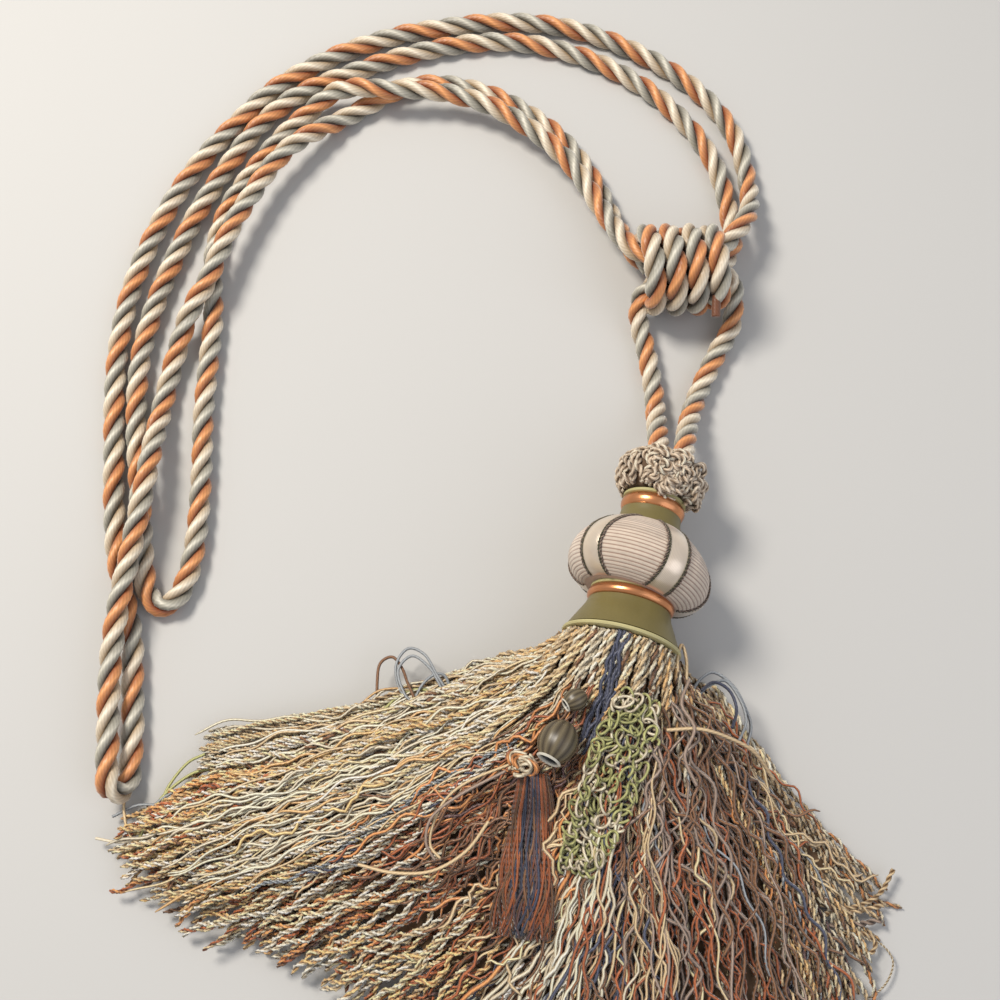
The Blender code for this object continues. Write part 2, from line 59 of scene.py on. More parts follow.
# ---- Routes of the rope in millimetres, as the CAD tubes follow them ----
LONG_LOOP = (
    (57.0, 249.0, 9.2), (52.5, 262.0, 5.2), (46.5, 278.0, 4.7), (39.0, 293.5, 4.7), (28.5, 308.5, 4.7),
    (14.5, 321.5, 4.7), (-3.0, 332.5, 4.7), (-22.0, 338.5, 4.7), (-38.0, 339.0, 4.7), (-50.5, 335.0, 4.7),
    (-62.0, 327.5, 4.7), (-74.5, 318.5, 5.4), (-85.5, 309.0, 9.6), (-96.5, 298.0, 13.0),
    (-106.0, 285.0, 13.2), (-113.8, 269.5, 13.6), (-119.0, 258.0, 14.2), (-124.2, 243.0, 14.4),
    (-129.0, 226.5, 14.4), (-136.0, 211.5, 12.5), (-141.2, 197.5, 6.8), (-144.4, 182.0, 4.7),
    (-146.0, 166.0, 6.0), (-146.5, 149.0, 11.0), (-147.1, 131.0, 14.4), (-148.7, 114.0, 14.4),
    (-150.4, 97.0, 14.4), (-152.3, 80.0, 14.4), (-153.4, 60.5, 13.4), (-152.8, 42.0, 12.8),
    (-151.4, 27.0, 12.8), (-150.6, 18.0, 13.2), (-150.0, 10.8, 13.2), (-148.5, 6.0, 11.1),
    (-145.5, 6.0, 6.9), (-144.0, 10.8, 4.8), (-143.9, 18.0, 4.7), (-144.6, 32.0, 4.7), (-146.6, 50.0, 4.7),
    (-148.8, 68.0, 4.7), (-154.0, 86.0, 4.7), (-159.0, 104.0, 4.7), (-162.4, 126.0, 4.7),
    (-164.9, 149.0, 4.7), (-167.4, 173.0, 4.7), (-168.3, 196.0, 4.7), (-167.0, 217.0, 4.7),
    (-163.5, 237.0, 4.7), (-157.4, 258.0, 4.7), (-148.8, 279.5, 4.7), (-137.4, 299.8, 4.7),
    (-123.8, 318.2, 4.7), (-110.0, 335.0, 4.7), (-92.5, 348.5, 4.7), (-73.0, 359.5, 4.7),
    (-49.5, 368.5, 4.7), (-29.0, 372.8, 4.7), (-7.0, 376.0, 4.7), (15.0, 376.0, 4.7), (39.0, 371.2, 4.7),
    (63.5, 360.0, 4.7), (85.0, 345.0, 4.7), (101.5, 327.0, 4.7), (111.5, 307.0, 4.7), (115.0, 285.0, 5.0),
    (113.8, 267.0, 11.0), (109.4, 254.5, 17.6), (102.0, 243.8, 20.4),
)

SHORT_LOOP = (
    (56.2, 241.2, 20.5), (50.8, 252.0, 17.0), (44.5, 266.0, 13.8), (36.0, 282.5, 13.2), (25.0, 297.0, 13.2),
    (11.5, 309.5, 13.2), (-5.0, 320.5, 13.2), (-23.5, 327.0, 13.2), (-40.0, 328.5, 14.4),
    (-54.0, 328.5, 14.4), (-66.0, 330.0, 14.2), (-78.5, 330.0, 10.4), (-90.5, 322.5, 5.6),
    (-101.0, 311.5, 4.7), (-111.0, 297.0, 4.7), (-119.0, 283.0, 4.7), (-124.8, 271.0, 4.7),
    (-128.3, 258.0, 4.7), (-130.0, 244.5, 4.7), (-129.2, 229.0, 4.7), (-127.6, 211.0, 4.7),
    (-128.0, 187.0, 4.7), (-128.0, 163.0, 4.7), (-126.8, 143.0, 4.7), (-126.2, 118.0, 4.7),
    (-127.0, 102.0, 4.7), (-128.8, 91.5, 4.7), (-133.0, 82.4, 4.7), (-139.4, 80.4, 4.7),
    (-144.4, 86.5, 4.7), (-147.2, 99.0, 4.7), (-149.8, 116.0, 4.7), (-153.2, 137.5, 4.7),
    (-156.3, 158.0, 4.7), (-157.9, 177.0, 4.7), (-157.7, 196.5, 4.7), (-154.2, 219.0, 4.7),
    (-148.6, 240.0, 4.7), (-140.3, 265.0, 4.7), (-130.4, 286.5, 4.7), (-115.6, 313.2, 4.7),
    (-96.8, 333.0, 4.7), (-72.5, 345.5, 4.7), (-48.0, 355.5, 4.7), (-24.0, 362.0, 4.7), (0.0, 364.5, 4.7),
    (23.0, 361.5, 4.7), (48.5, 351.5, 4.7), (71.5, 335.5, 4.7), (89.0, 315.5, 4.7), (99.5, 296.0, 4.7),
    (104.2, 277.0, 4.7), (105.6, 262.0, 5.4), (105.6, 249.5, 7.8), (102.2, 240.2, 10.0),
)

LEFT_LEG = (
    (62.0, 206.8, 6.2), (64.4, 196.0, 4.8), (66.0, 184.5, 4.7), (66.9, 174.5, 5.0), (66.8, 163.4, 8.4),
    (66.0, 151.2, 16.0), (65.4, 141.6, 22.4),
)

RIGHT_LEG = (
    (103.0, 225.0, 12.6), (103.4, 214.5, 8.8), (101.6, 205.5, 6.0), (95.8, 195.5, 4.7), (90.6, 185.0, 4.7),
    (85.8, 174.5, 5.0), (81.6, 163.4, 9.0), (78.0, 151.2, 16.6), (75.9, 142.6, 22.4),
)

# Points inside the knot that carry each rope on into the bundle which the turns wrap.
LONG_LOOP_INSIDE = ((67.0, 233.0, 13.0), (61.0, 240.0, 12.0))
LONG_LOOP_BACK = ((96.0, 237.0, 21.5), (88.0, 233.0, 22.0))
SHORT_LOOP_INSIDE = ((68.0, 232.0, 23.5), (61.0, 235.0, 23.0))
SHORT_LOOP_BACK = ((96.0, 232.0, 13.0), (88.0, 230.0, 14.0))
LEFT_LEG_INSIDE = ((69.0, 224.0, 17.0), (62.5, 218.5, 13.0), (61.2, 212.5, 8.5))
RIGHT_LEG_INSIDE = ((89.0, 224.0, 19.0), (97.5, 227.0, 17.5))
LEFT_LEG_END = ((65.2, 134.0, 26.2),)
RIGHT_LEG_END = ((73.8, 135.0, 26.2),)

# Each lock of the skirt's fan from its left edge to its right one: plan position at a third and at
# two thirds of its length, its tip, and the height of its crown at the two points and the tip, in
# millimetres.
LOCK_COLUMNS = ("x1", "y1", "x2", "y2", "tip_x", "tip_y", "crown1", "crown2", "crown_tip")
LOCKS = (
    (-11.0, 53.0, -60.0, 37.0, -121.0, 28.0, 14.0, 12.0, 7.0),
    (-6.0, 47.0, -62.0, 26.0, -119.0, 14.0, 25.0, 17.0, 8.0),
    (-1.0, 40.0, -66.0, 15.0, -147.0, -8.0, 33.0, 21.0, 8.0),
    (6.0, 32.0, -58.0, 2.0, -146.0, -28.0, 38.0, 23.0, 8.0),
    (14.0, 24.0, -44.0, -12.0, -115.0, -44.0, 41.0, 25.0, 9.0),
    (22.0, 16.0, -24.0, -26.0, -76.0, -56.0, 42.0, 26.0, 9.0),
    (32.0, 9.0, 2.0, -44.0, -42.0, -82.0, 43.0, 26.0, 9.0),
    (42.0, 5.0, 28.0, -58.0, 5.0, -120.0, 43.0, 26.0, 9.0),
    (54.0, 5.0, 56.0, -62.0, 50.0, -138.5, 42.0, 25.0, 9.0),
    (67.0, 12.0, 82.0, -50.0, 94.0, -124.0, 38.0, 23.0, 8.0),
    (79.0, 24.0, 103.0, -28.0, 126.0, -92.0, 31.0, 19.0, 8.0),
    (87.0, 39.0, 112.0, 3.0, 149.0, -31.0, 17.0, 12.0, 6.0),
)

ROPE_DIAMETER = 0.0090


# ---- Dyes ----
def linear(red: float, green: float, blue: float) -> Colour:
    """Turns a screen colour into the linear one that shaders use.

    Args:
        red, green, blue: the colour on a scale of 0 to 255.

    Returns:
        The linear colour, each part from 0 to 1.
    """
    parts = []
    for value in (red, green, blue):
        share = value / 255
        parts.append(share / 12.92 if share <= 0.04045 else ((share + 0.055) / 1.055) ** 2.4)
    return tuple(parts)


class Dye(Enum):
    """Yarn dyes, each given twice: lit, as a painted highlight on top of a ply, and shaded, as painted shade
    on the side of it that lies between plies.
    """

    CREAM = (linear(255, 242, 218), linear(158, 128, 90))
    SAGE = (linear(226, 220, 202), linear(62, 56, 42))
    COPPER = (linear(252, 178, 116), linear(126, 52, 14))
    TAN = (linear(244, 216, 170), linear(122, 88, 54))
    GOLD = (linear(248, 204, 142), linear(142, 92, 46))
    IVORY = (linear(255, 244, 216), linear(146, 118, 80))
    BROWN = (linear(150, 108, 76), linear(46, 28, 18))
    RUST = (linear(190, 110, 66), linear(70, 32, 18))
    ORANGE = (linear(236, 164, 100), linear(118, 58, 24))
    NAVY = (linear(84, 88, 108), linear(28, 28, 40))
    STEEL = (linear(178, 182, 184), linear(72, 78, 88))
    TAUPE = (linear(184, 160, 142), linear(70, 54, 46))
    PLUM = (linear(128, 96, 92), linear(48, 30, 32))
    LEAF = (linear(208, 206, 140), linear(96, 96, 48))
    MOP = (linear(255, 238, 214), linear(136, 108, 82))
    EDGING = (linear(140, 132, 104), linear(56, 52, 38))
    WINDING = (linear(242, 224, 204), linear(168, 130, 112))

    @property
    def lit_crest(self) -> np.ndarray:
        """The dye as lit: the painted highlight on top of a ply."""
        return np.array(self.value[0])

    @property
    def shaded_groove(self) -> np.ndarray:
        """The dye as shaded: the painted shade deep between plies."""
        return np.array(self.value[1])


# ---- Curves ----
def spline(stops: list[np.ndarray], t: np.ndarray) -> np.ndarray:
    """A smooth run from the second of four stops to the third, as t goes from 0 to 1.

    Args:
        stops: four values or points in a row.
        t: shares of the way.

    Returns:
        The run at each share.
    """
    a, b, c, d = stops
    return 0.5 * (2 * b + (c - a) * t + (2 * a - 5 * b + 4 * c - d) * t**2
                  + (3 * b - a - 3 * c + d) * t**3)


def catmull(points: np.ndarray, per_span: int) -> np.ndarray:
    """Runs a smooth curve through points.

    Args:
        points: the points, one a row.
        per_span: how many steps are taken between two of them.

    Returns:
        Points on the curve, the last of them included.
    """
    stops = np.asarray(points, float)
    ends = np.vstack([2 * stops[0] - stops[1], stops, 2 * stops[-1] - stops[-2]])
    t = np.linspace(0, 1, per_span, endpoint=False)[:, None]
    spans = [spline(four, t) for four in zip(ends[:-3], ends[1:-2], ends[2:-1], ends[3:])]
    return np.vstack([*spans, stops[-1]])


def run_along(lines: np.ndarray) -> np.ndarray:
    """How far along its own line each point lies."""
    gaps = np.linalg.norm(np.diff(lines, axis=-2), axis=-1)
    return np.concatenate([np.zeros((*gaps.shape[:-1], 1)), np.cumsum(gaps, axis=-1)], axis=-1)


def evenly(line: np.ndarray, step: float) -> np.ndarray:
    """Spaces a line's points evenly.

    Args:
        line: the points, one a row.
        step: about how far apart the new points are.

    Returns:
        The new points, from the first old one to the last.
    """
    run = run_along(line)
    count = max(3, round(run[-1] / step) + 1)
    places = np.linspace(0, run[-1], count)
    return np.stack([np.interp(places, run, line[:, k]) for k in range(3)], axis=1)


def unit(vectors: np.ndarray) -> np.ndarray:
    """The vectors at length one."""
    return vectors / np.maximum(np.linalg.norm(vectors, axis=-1, keepdims=True), 1e-12)


def transported(lines: np.ndarray) -> tuple[np.ndarray, np.ndarray, np.ndarray]:
    """Carries a frame along each line without twist.

    Args:
        lines: lines by points by coordinates.

    Returns:
        The tangents, and two directions across each line, in the shape of lines.
    """
    tangents = unit(np.gradient(lines, axis=1))
    up = np.zeros_like(tangents[:, 0])
    up[:, 2] = 1.0
    steep = np.abs(tangents[:, 0, 2]) > 0.9
    up[steep] = (1.0, 0.0, 0.0)
    normals = np.empty_like(tangents)
    normals[:, 0] = unit(up - tangents[:, 0] * (up * tangents[:, 0]).sum(-1, keepdims=True))
    for i in range(1, lines.shape[1]):
        last = normals[:, i - 1]
        normals[:, i] = unit(last - tangents[:, i] * (last * tangents[:, i]).sum(-1, keepdims=True))
    return tangents, normals, np.cross(tangents, normals)


def smoothstep(low: float, high: float, value: np.ndarray) -> np.ndarray:
    """A soft step from 0 at low to 1 at high."""
    share = np.clip((value - low) / (high - low), 0, 1)
    return share * share * (3 - 2 * share)


# ---- Meshes ----
def add_object(name: str, data: ID) -> Object:
    """Puts a mesh, a light or a camera into the scene.

    Args:
        name: the object's name.
        data: what it shows.

    Returns:
        The object.
    """
    made = bpy.data.objects.new(name, data)
    bpy.context.scene.collection.objects.link(made)
    return made


def paint_dyes_and_shade(mesh: Mesh, colours: np.ndarray) -> None:
    """Stores one colour on each point: its dye with painted highlight and painted shade.

    Args:
        mesh: the mesh.
        colours: one a point, each part from 0 to 1.
    """
    layer = mesh.color_attributes.new("dye", "FLOAT_COLOR", "POINT")
    filled = np.ones((len(colours), 4), np.float32)
    filled[:, :3] = np.clip(colours, 0, 1)
    layer.data.foreach_set("color", filled.ravel())


def finish_mesh(mesh: Mesh, maps: np.ndarray, look: Material) -> Object:
    """Gives a mesh its map, smooth shading and a material, and puts it into the scene.

    Args:
        mesh: the mesh.
        maps: a place on the map for each corner of a face.
        look: its material.

    Returns:
        The object.
    """
    layer = mesh.uv_layers.new(name="along", do_init=False)
    layer.uv.foreach_set("vector", maps.astype(np.float32).ravel())
    mesh.shade_smooth()
    mesh.materials.append(look)
    return add_object(mesh.name, mesh)


class YarnMesh:
    """Gathers swept yarns into one mesh, with a dye colour on each point that carries painted highlight and
    painted shade, and a map along each yarn.
    """

    PLY_RADIUS = {2: 0.28, 3: 0.245}
    PLY_OFFSET = {2: 0.235, 3: 0.270}
    # The painted highlight comes in over two runs of facing outwards: where each begins and ends, its share.
    HIGHLIGHT_RUNS = ((0.25, 0.90, 0.45), (0.90, 1.00, 0.55))

    def __init__(self) -> None:
        """Starts empty."""
        self._points: list[np.ndarray] = []
        self._colours: list[np.ndarray] = []
        self._quads: list[np.ndarray] = []
        self._caps: list[np.ndarray] = []
        self._maps: list[np.ndarray] = []
        self._size = 0

    def sweep(self, lines: np.ndarray, radius: np.ndarray, lit_crest: np.ndarray, shaded_groove: np.ndarray,
              sides: int = 6, outward: np.ndarray | None = None) -> None:
        """Adds a round closed yarn along each line.

        Args:
            lines: lines by points by coordinates, or one line.
            radius: the yarn's radius, a number or one for each point.
            lit_crest: its painted highlight colour, where the yarn faces outward, one colour or one a line.
            shaded_groove: its painted shade colour, where the yarn faces inward, in the same form.
            sides: how many sides the yarn has.
            outward: the way out of the cord at each point, which the painted highlight faces; without it the
                yarn has its highlight colour all round and no painted shade.
        """
        lines = self._several(lines)
        count, steps, _ = lines.shape
        tangents, normals, across = transported(lines)
        if outward is not None:
            normals = unit(outward - tangents * (outward * tangents).sum(-1, keepdims=True))
            across = np.cross(tangents, normals)
        turn = FULL_TURN * np.arange(sides) / sides
        ring = (np.cos(turn)[:, None] * normals[:, :, None]
                + np.sin(turn)[:, None] * across[:, :, None])
        radius = np.broadcast_to(np.asarray(radius, float), (count, steps))
        points = lines[:, :, None] + ring * radius[..., None, None]
        if outward is None:
            highlight_share = np.ones((count, steps, sides, 1))
        else:
            facing = 0.5 + 0.5 * (ring * outward[:, :, None]).sum(-1, keepdims=True)
            highlight_share = sum(share * smoothstep(low, high, facing) for low, high, share in self.HIGHLIGHT_RUNS)
        lit_crest = self._per_line(lit_crest, count)
        shaded_groove = self._per_line(shaded_groove, count)
        # Painted highlight where the yarn faces outward, painted shade where it faces inward.
        colours = shaded_groove + (lit_crest - shaded_groove) * highlight_share
        self._points.append(points.reshape(-1, 3))
        self._colours.append(colours.reshape(-1, 3))
        self._add_faces(lines, count, steps, sides)

    @staticmethod
    def _several(lines: np.ndarray) -> np.ndarray:
        """One line or more as lines by points by coordinates."""
        lines = np.asarray(lines, float)
        return lines[None] if lines.ndim == 2 else lines

    @staticmethod
    def _per_line(colour: np.ndarray, count: int) -> np.ndarray:
        """A colour, or one colour a line, in the shape of the points.

        Args:
            colour: the colour or colours.
            count: how many lines there are.

        Returns:
            Colours that fit lines by points by sides.
        """
        colour = np.asarray(colour, float)
        if colour.ndim == 1:
            colour = np.broadcast_to(colour, (count, 3))
        if colour.ndim == 2:
            colour = colour[:, None]
        return colour[:, :, None, :]

    def strand(self, line: np.ndarray, radius: float | np.ndarray, lit_crest: np.ndarray,
               shaded_groove: np.ndarray, sides: int = 5) -> None:
        """Adds one loose yarn with a painted highlight on top and painted shade beneath, where it lies on the
        others.

        Args:
            line: its points.
            radius: the yarn's radius, a number or one for each point.
            lit_crest: its painted highlight colour, on top.
            shaded_groove: its painted shade colour, beneath.
            sides: how many sides the yarn has.
        """
        # The painted highlight faces up and the painted shade down.
        # A slight lean keeps the way out clear where the yarn itself stands upright.
        upward = np.broadcast_to([0.0, 0.01, 1.0], (1, *line.shape))
        self.sweep(line, radius, lit_crest, shaded_groove, sides, upward)

    def _add_faces(self, lines: np.ndarray, count: int, steps: int, sides: int) -> None:
        """Joins the rings just added into tubes with closed ends.

        Args:
            lines: their centrelines.
            count, steps, sides: how many lines, rings a line and points a ring.
        """
        place = np.arange(count * steps * sides).reshape(count, steps, sides) + self._size
        near, far = place[:, :-1], place[:, 1:]
        quads = np.stack([near, np.roll(near, -1, 2), np.roll(far, -1, 2), far], axis=-1)
        self._quads.append(quads.reshape(-1, 4))
        self._caps.append(place[:, 0, ::-1])
        self._caps.append(place[:, -1])
        run = run_along(lines)
        start = np.broadcast_to(run[:, :-1, None], (count, steps - 1, sides))
        end = np.broadcast_to(run[:, 1:, None], (count, steps - 1, sides))
        left = np.broadcast_to(np.arange(sides) / sides, (count, steps - 1, sides))
        right = left + 1 / sides
        corners = [np.stack(pair, axis=-1)
                   for pair in ((left, start), (right, start), (right, end), (left, end))]
        self._maps.append(np.stack(corners, axis=-2).reshape(-1, 2))
        self._size += count * steps * sides

    def cord(self, lines: np.ndarray, diameter: float | np.ndarray, plies: int,
             pitch: float | np.ndarray, dyes: PlyDyes,
             sides: int = 6, phase: float | np.ndarray = 0.0) -> None:
        """Adds a cord of twisted plies along each line.

        Args:
            lines: lines by points by coordinates, or one line.
            diameter: over all plies, a number or one for each point.
            plies: how many plies there are.
            pitch: the length of one full turn, a number or one for each point.
            dyes: painted highlight and painted shade colour of each ply.
            sides: how many sides a ply has.
            phase: where the first ply starts, in radians, a number or one a line.
        """
        lines = self._several(lines)
        count, steps, _ = lines.shape
        _, normals, across = transported(lines)
        gaps = np.linalg.norm(np.diff(lines, axis=1), axis=2)
        pitch = np.broadcast_to(np.asarray(pitch, float), (count, steps))
        turns = np.concatenate([np.zeros((count, 1)), np.cumsum(gaps / pitch[:, 1:], axis=1)], axis=1)
        phase = np.broadcast_to(np.asarray(phase, float), (count,))[:, None]
        diameter = np.broadcast_to(np.asarray(diameter, float), (count, steps))
        for k, (lit_crest, shaded_groove) in enumerate(dyes):
            angle = (FULL_TURN * (turns + k / plies) + phase)[..., None]
            outward = np.cos(angle) * normals + np.sin(angle) * across
            laid = lines + outward * (diameter * self.PLY_OFFSET[plies])[..., None]
            self.sweep(laid, diameter * self.PLY_RADIUS[plies], lit_crest, shaded_groove, sides, outward)

    def build(self, name: str, look: Material, floor: float = 0.0002) -> Object:
        """Makes the object.

        Args:
            name: the piece's name.
            look: its material.
            floor: no point lies lower than this.

        Returns:
            The object, linked into the scene.
        """
        points = np.vstack(self._points)
        points[:, 2] = np.maximum(points[:, 2], floor)
        faces = np.vstack(self._quads).tolist()
        maps = [np.vstack(self._maps)]
        for caps in self._caps:
            faces += caps.tolist()
            maps.append(np.full((caps.size, 2), 0.5))
        mesh = bpy.data.meshes.new(name)
        mesh.from_pydata(points.tolist(), [], faces)
        paint_dyes_and_shade(mesh, np.vstack(self._colours))
        return finish_mesh(mesh, np.vstack(maps), look)


def grid_mesh(name: str, points: np.ndarray, look: Material, colours: np.ndarray | None = None,
              sharp: float = 40.0) -> Object:
    """Makes a closed piece from rows of points, each row a ring, with a cap at either end.

    Args:
        name: the piece's name.
        points: rings by points by coordinates.
        look: its material.
        colours: a dye for each point, if it has any.
        sharp: edges that turn more than this many degrees stay crisp.

    Returns:
        The object, linked into the scene.
    """
    rings, count, _ = points.shape
    place = np.arange(rings * count).reshape(rings, count)
    first, last = place[:-1], place[1:]
    quads = np.stack([first, np.roll(first, -1, 1), np.roll(last, -1, 1), last], axis=-1)
    faces = quads.reshape(-1, 4).tolist()
    faces += [place[0, ::-1].tolist(), place[-1].tolist()]
    mesh = bpy.data.meshes.new(name)
    mesh.from_pydata(points.reshape(-1, 3).tolist(), [], faces)
    if colours is not None:
        paint_dyes_and_shade(mesh, colours.reshape(-1, 3))
    column, row = np.arange(count), np.arange(len(first))
    maps = np.zeros((len(first), count, 4, 2))
    maps[..., 0] = np.stack([column, column + 1, column + 1, column], axis=-1) / count
    maps[..., 1] = (np.stack([row, row, row + 1, row + 1], axis=-1) / len(first))[:, None]
    flat = np.full((len(mesh.loops), 2), 0.5)
    flat[: maps.size // 2] = maps.reshape(-1, 2)
    made = finish_mesh(mesh, flat, look)
    mesh.set_sharp_from_angle(angle=math.radians(sharp))
    return made


def settle(piece: Object, slot: str, *nodes: str) -> Object:
    """Ties a piece to the CAD body and tells which solids it stands for.

    Args:
        piece: the finished piece.
        slot: the name of a material slot; not used.
        nodes: CAD nodes that it replaces.

    Returns:
        The same piece.
    """
    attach(piece, BODY)
    if nodes:
        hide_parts(*nodes)
    triangles = len(piece.data.loops) - 2 * len(piece.data.polygons)
    LOG.info("%s: %d triangles, stands for %s", piece.name, triangles, ", ".join(nodes) or "fine work")
    return piece


# ---- Finishes ----
class Effects:
    """Shader node groups that several finishes share, each built once."""

    @staticmethod
    def _group(name: str, inputs: list[tuple[str, str, float]],
               outputs: list[tuple[str, str]]) -> tuple[NodeTree, Node, Node]:
        """Starts a node group with named sockets and returns it with its two end nodes.

        Args:
            name: the group's name.
            inputs: name, kind and value of each.
            outputs: name and kind of each.

        Returns:
            The group, its input node and its output node.
        """
        tree = bpy.data.node_groups.new(name, "ShaderNodeTree")
        for label, kind, value in inputs:
            socket = tree.interface.new_socket(label, in_out="INPUT", socket_type=kind)
            if kind == "NodeSocketFloat":
                socket.default_value = value
        for label, kind in outputs:
            tree.interface.new_socket(label, in_out="OUTPUT", socket_type=kind)
        return tree, tree.nodes.new("NodeGroupInput"), tree.nodes.new("NodeGroupOutput")

    @staticmethod
    def _reckon(tree: NodeTree, operation: str, *sources: NodeSocket | float) -> NodeSocket:
        """A Math node's output, its inputs being sockets or plain numbers.

        Args:
            tree: the group that it is in.
            operation: what it works out.
            sources: what feeds it, in order.

        Returns:
            The output.
        """
        node = tree.nodes.new("ShaderNodeMath")
        node.operation = operation
        for socket, source in zip(node.inputs, sources):
            if isinstance(source, float):
                socket.default_value = source
            else:
                tree.links.new(source, socket)
        return node.outputs[0]

    @classmethod
    def filaments(cls) -> NodeTree:
        """Fine filaments that spiral round a yarn, from its own map.

        Returns:
            The group. Its Shade is painted shade between filaments, near 1 on them and darker between them,
            and its Height follows them.
        """
        known = bpy.data.node_groups.get("filaments")
        if known:
            return known
        tree, start, end = cls._group(
            "filaments",
            [("Map", "NodeSocketVector", 0), ("Round", "NodeSocketFloat", 8.0),
             ("Along", "NodeSocketFloat", 250.0), ("Depth", "NodeSocketFloat", 0.25)],
            [("Shade", "NodeSocketFloat"), ("Height", "NodeSocketFloat")])
        split = tree.nodes.new("ShaderNodeSeparateXYZ")
        tree.links.new(start.outputs["Map"], split.inputs[0])
        around = cls._reckon(tree, "MULTIPLY", split.outputs["X"], start.outputs["Round"])
        along = cls._reckon(tree, "MULTIPLY", split.outputs["Y"], start.outputs["Along"])
        turns = cls._reckon(tree, "ADD", around, along)
        wave = cls._reckon(tree, "SINE", cls._reckon(tree, "MULTIPLY", turns, FULL_TURN))
        height = tree.nodes.new("ShaderNodeMapRange")
        height.inputs["From Min"].default_value = -1.0
        tree.links.new(wave, height.inputs["Value"])
        hollow = cls._reckon(tree, "SUBTRACT", 1.0, height.outputs[0])
        sunk = cls._reckon(tree, "MULTIPLY", hollow, start.outputs["Depth"])
        tree.links.new(cls._reckon(tree, "SUBTRACT", 1.0, sunk), end.inputs["Shade"])
        tree.links.new(height.outputs[0], end.inputs["Height"])
        return tree

    @classmethod
    def mottle(cls) -> NodeTree:
        """Soft cloudy unevenness over a piece.

        Returns:
            The group. Its Value runs from 1 less Depth to 1, and its Height is the same cloud.
        """
        known = bpy.data.node_groups.get("mottle")
        if known:
            return known
        tree, start, end = cls._group(
            "mottle",
            [("Place", "NodeSocketVector", 0), ("Scale", "NodeSocketFloat", 120.0),
             ("Depth", "NodeSocketFloat", 0.2)],
            [("Value", "NodeSocketFloat"), ("Height", "NodeSocketFloat")])
        cloud = tree.nodes.new("ShaderNodeTexNoise")
        cloud.inputs["Detail"].default_value = 4.0
        tree.links.new(start.outputs["Place"], cloud.inputs["Vector"])
        tree.links.new(start.outputs["Scale"], cloud.inputs["Scale"])
        sunk = cls._reckon(tree, "MULTIPLY", cloud.outputs["Fac"], start.outputs["Depth"])
        tree.links.new(cls._reckon(tree, "SUBTRACT", 1.0, sunk), end.inputs["Value"])
        tree.links.new(cloud.outputs["Fac"], end.inputs["Height"])
        return tree


def new_material(name: str) -> tuple[Material, Node]:
    """Starts a material.

    Args:
        name: its name.

    Returns:
        The material and its Principled shader.
    """
    made = bpy.data.materials.new(name)
    made.use_nodes = True
    return made, made.node_tree.nodes["Principled BSDF"]


def set_inputs(node: Node, values: dict[str, float | tuple[float, ...]]) -> None:
    """Sets a node's inputs by name."""
    for label, value in values.items():
        node.inputs[label].default_value = value


def place_group(made: Material, group: NodeTree, source: str,
                values: dict[str, float]) -> Node:
    """Puts a shared effect into a material.

    Args:
        made: the material.
        group: the effect.
        source: the Texture Coordinate output that feeds its first socket.
        values: its other inputs by name.

    Returns:
        The group's node.
    """
    nodes = made.node_tree.nodes
    node = nodes.new("ShaderNodeGroup")
    node.node_tree = group
    spot = nodes.new("ShaderNodeTexCoord")
    made.node_tree.links.new(spot.outputs[source], node.inputs[0])
    set_inputs(node, values)
    return node


def plain_colour(made: Material, colour: Colour) -> NodeSocket:
    """One even colour, as a node in the material.

    Args:
        made: the material.
        colour: the colour.

    Returns:
        Its socket.
    """
    node = made.node_tree.nodes.new("ShaderNodeRGB")
    node.outputs[0].default_value = (*colour, 1.0)
    return node.outputs[0]


def uneven_roughness(made: Material, height: NodeSocket, low: float, high: float) -> None:
    """Lets a height vary the shader's roughness between two values.

    Args:
        made: the material.
        height: the height, from 0 to 1.
        low, high: roughness at 0 and at 1.
    """
    nodes, links = made.node_tree.nodes, made.node_tree.links
    rough = nodes.new("ShaderNodeMapRange")
    set_inputs(rough, {"To Min": low, "To Max": high})
    links.new(height, rough.inputs["Value"])
    links.new(rough.outputs[0], nodes["Principled BSDF"].inputs["Roughness"])


def multiply(made: Material, colour: NodeSocket, factor: NodeSocket) -> NodeSocket:
    """A colour scaled by a value, as a node in the material.

    Args:
        made: the material.
        colour, factor: the two sockets.

    Returns:
        The scaled colour.
    """
    nodes, links = made.node_tree.nodes, made.node_tree.links
    node = nodes.new("ShaderNodeVectorMath")
    node.operation = "SCALE"
    links.new(colour, node.inputs[0])
    links.new(factor, node.inputs["Scale"])
    return node.outputs[0]


def add_bump(made: Material, height: NodeSocket, distance: float, strength: float) -> None:
    """Feeds a height through a Bump node to the shader's normal.

    Args:
        made: the material.
        height: the height.
        distance: how far it stands out, in metres.
        strength: how much of it shows.
    """
    nodes, links = made.node_tree.nodes, made.node_tree.links
    bump = nodes.new("ShaderNodeBump")
    set_inputs(bump, {"Distance": distance, "Strength": strength})
    links.new(height, bump.inputs["Height"])
    links.new(bump.outputs[0], nodes["Principled BSDF"].inputs["Normal"])


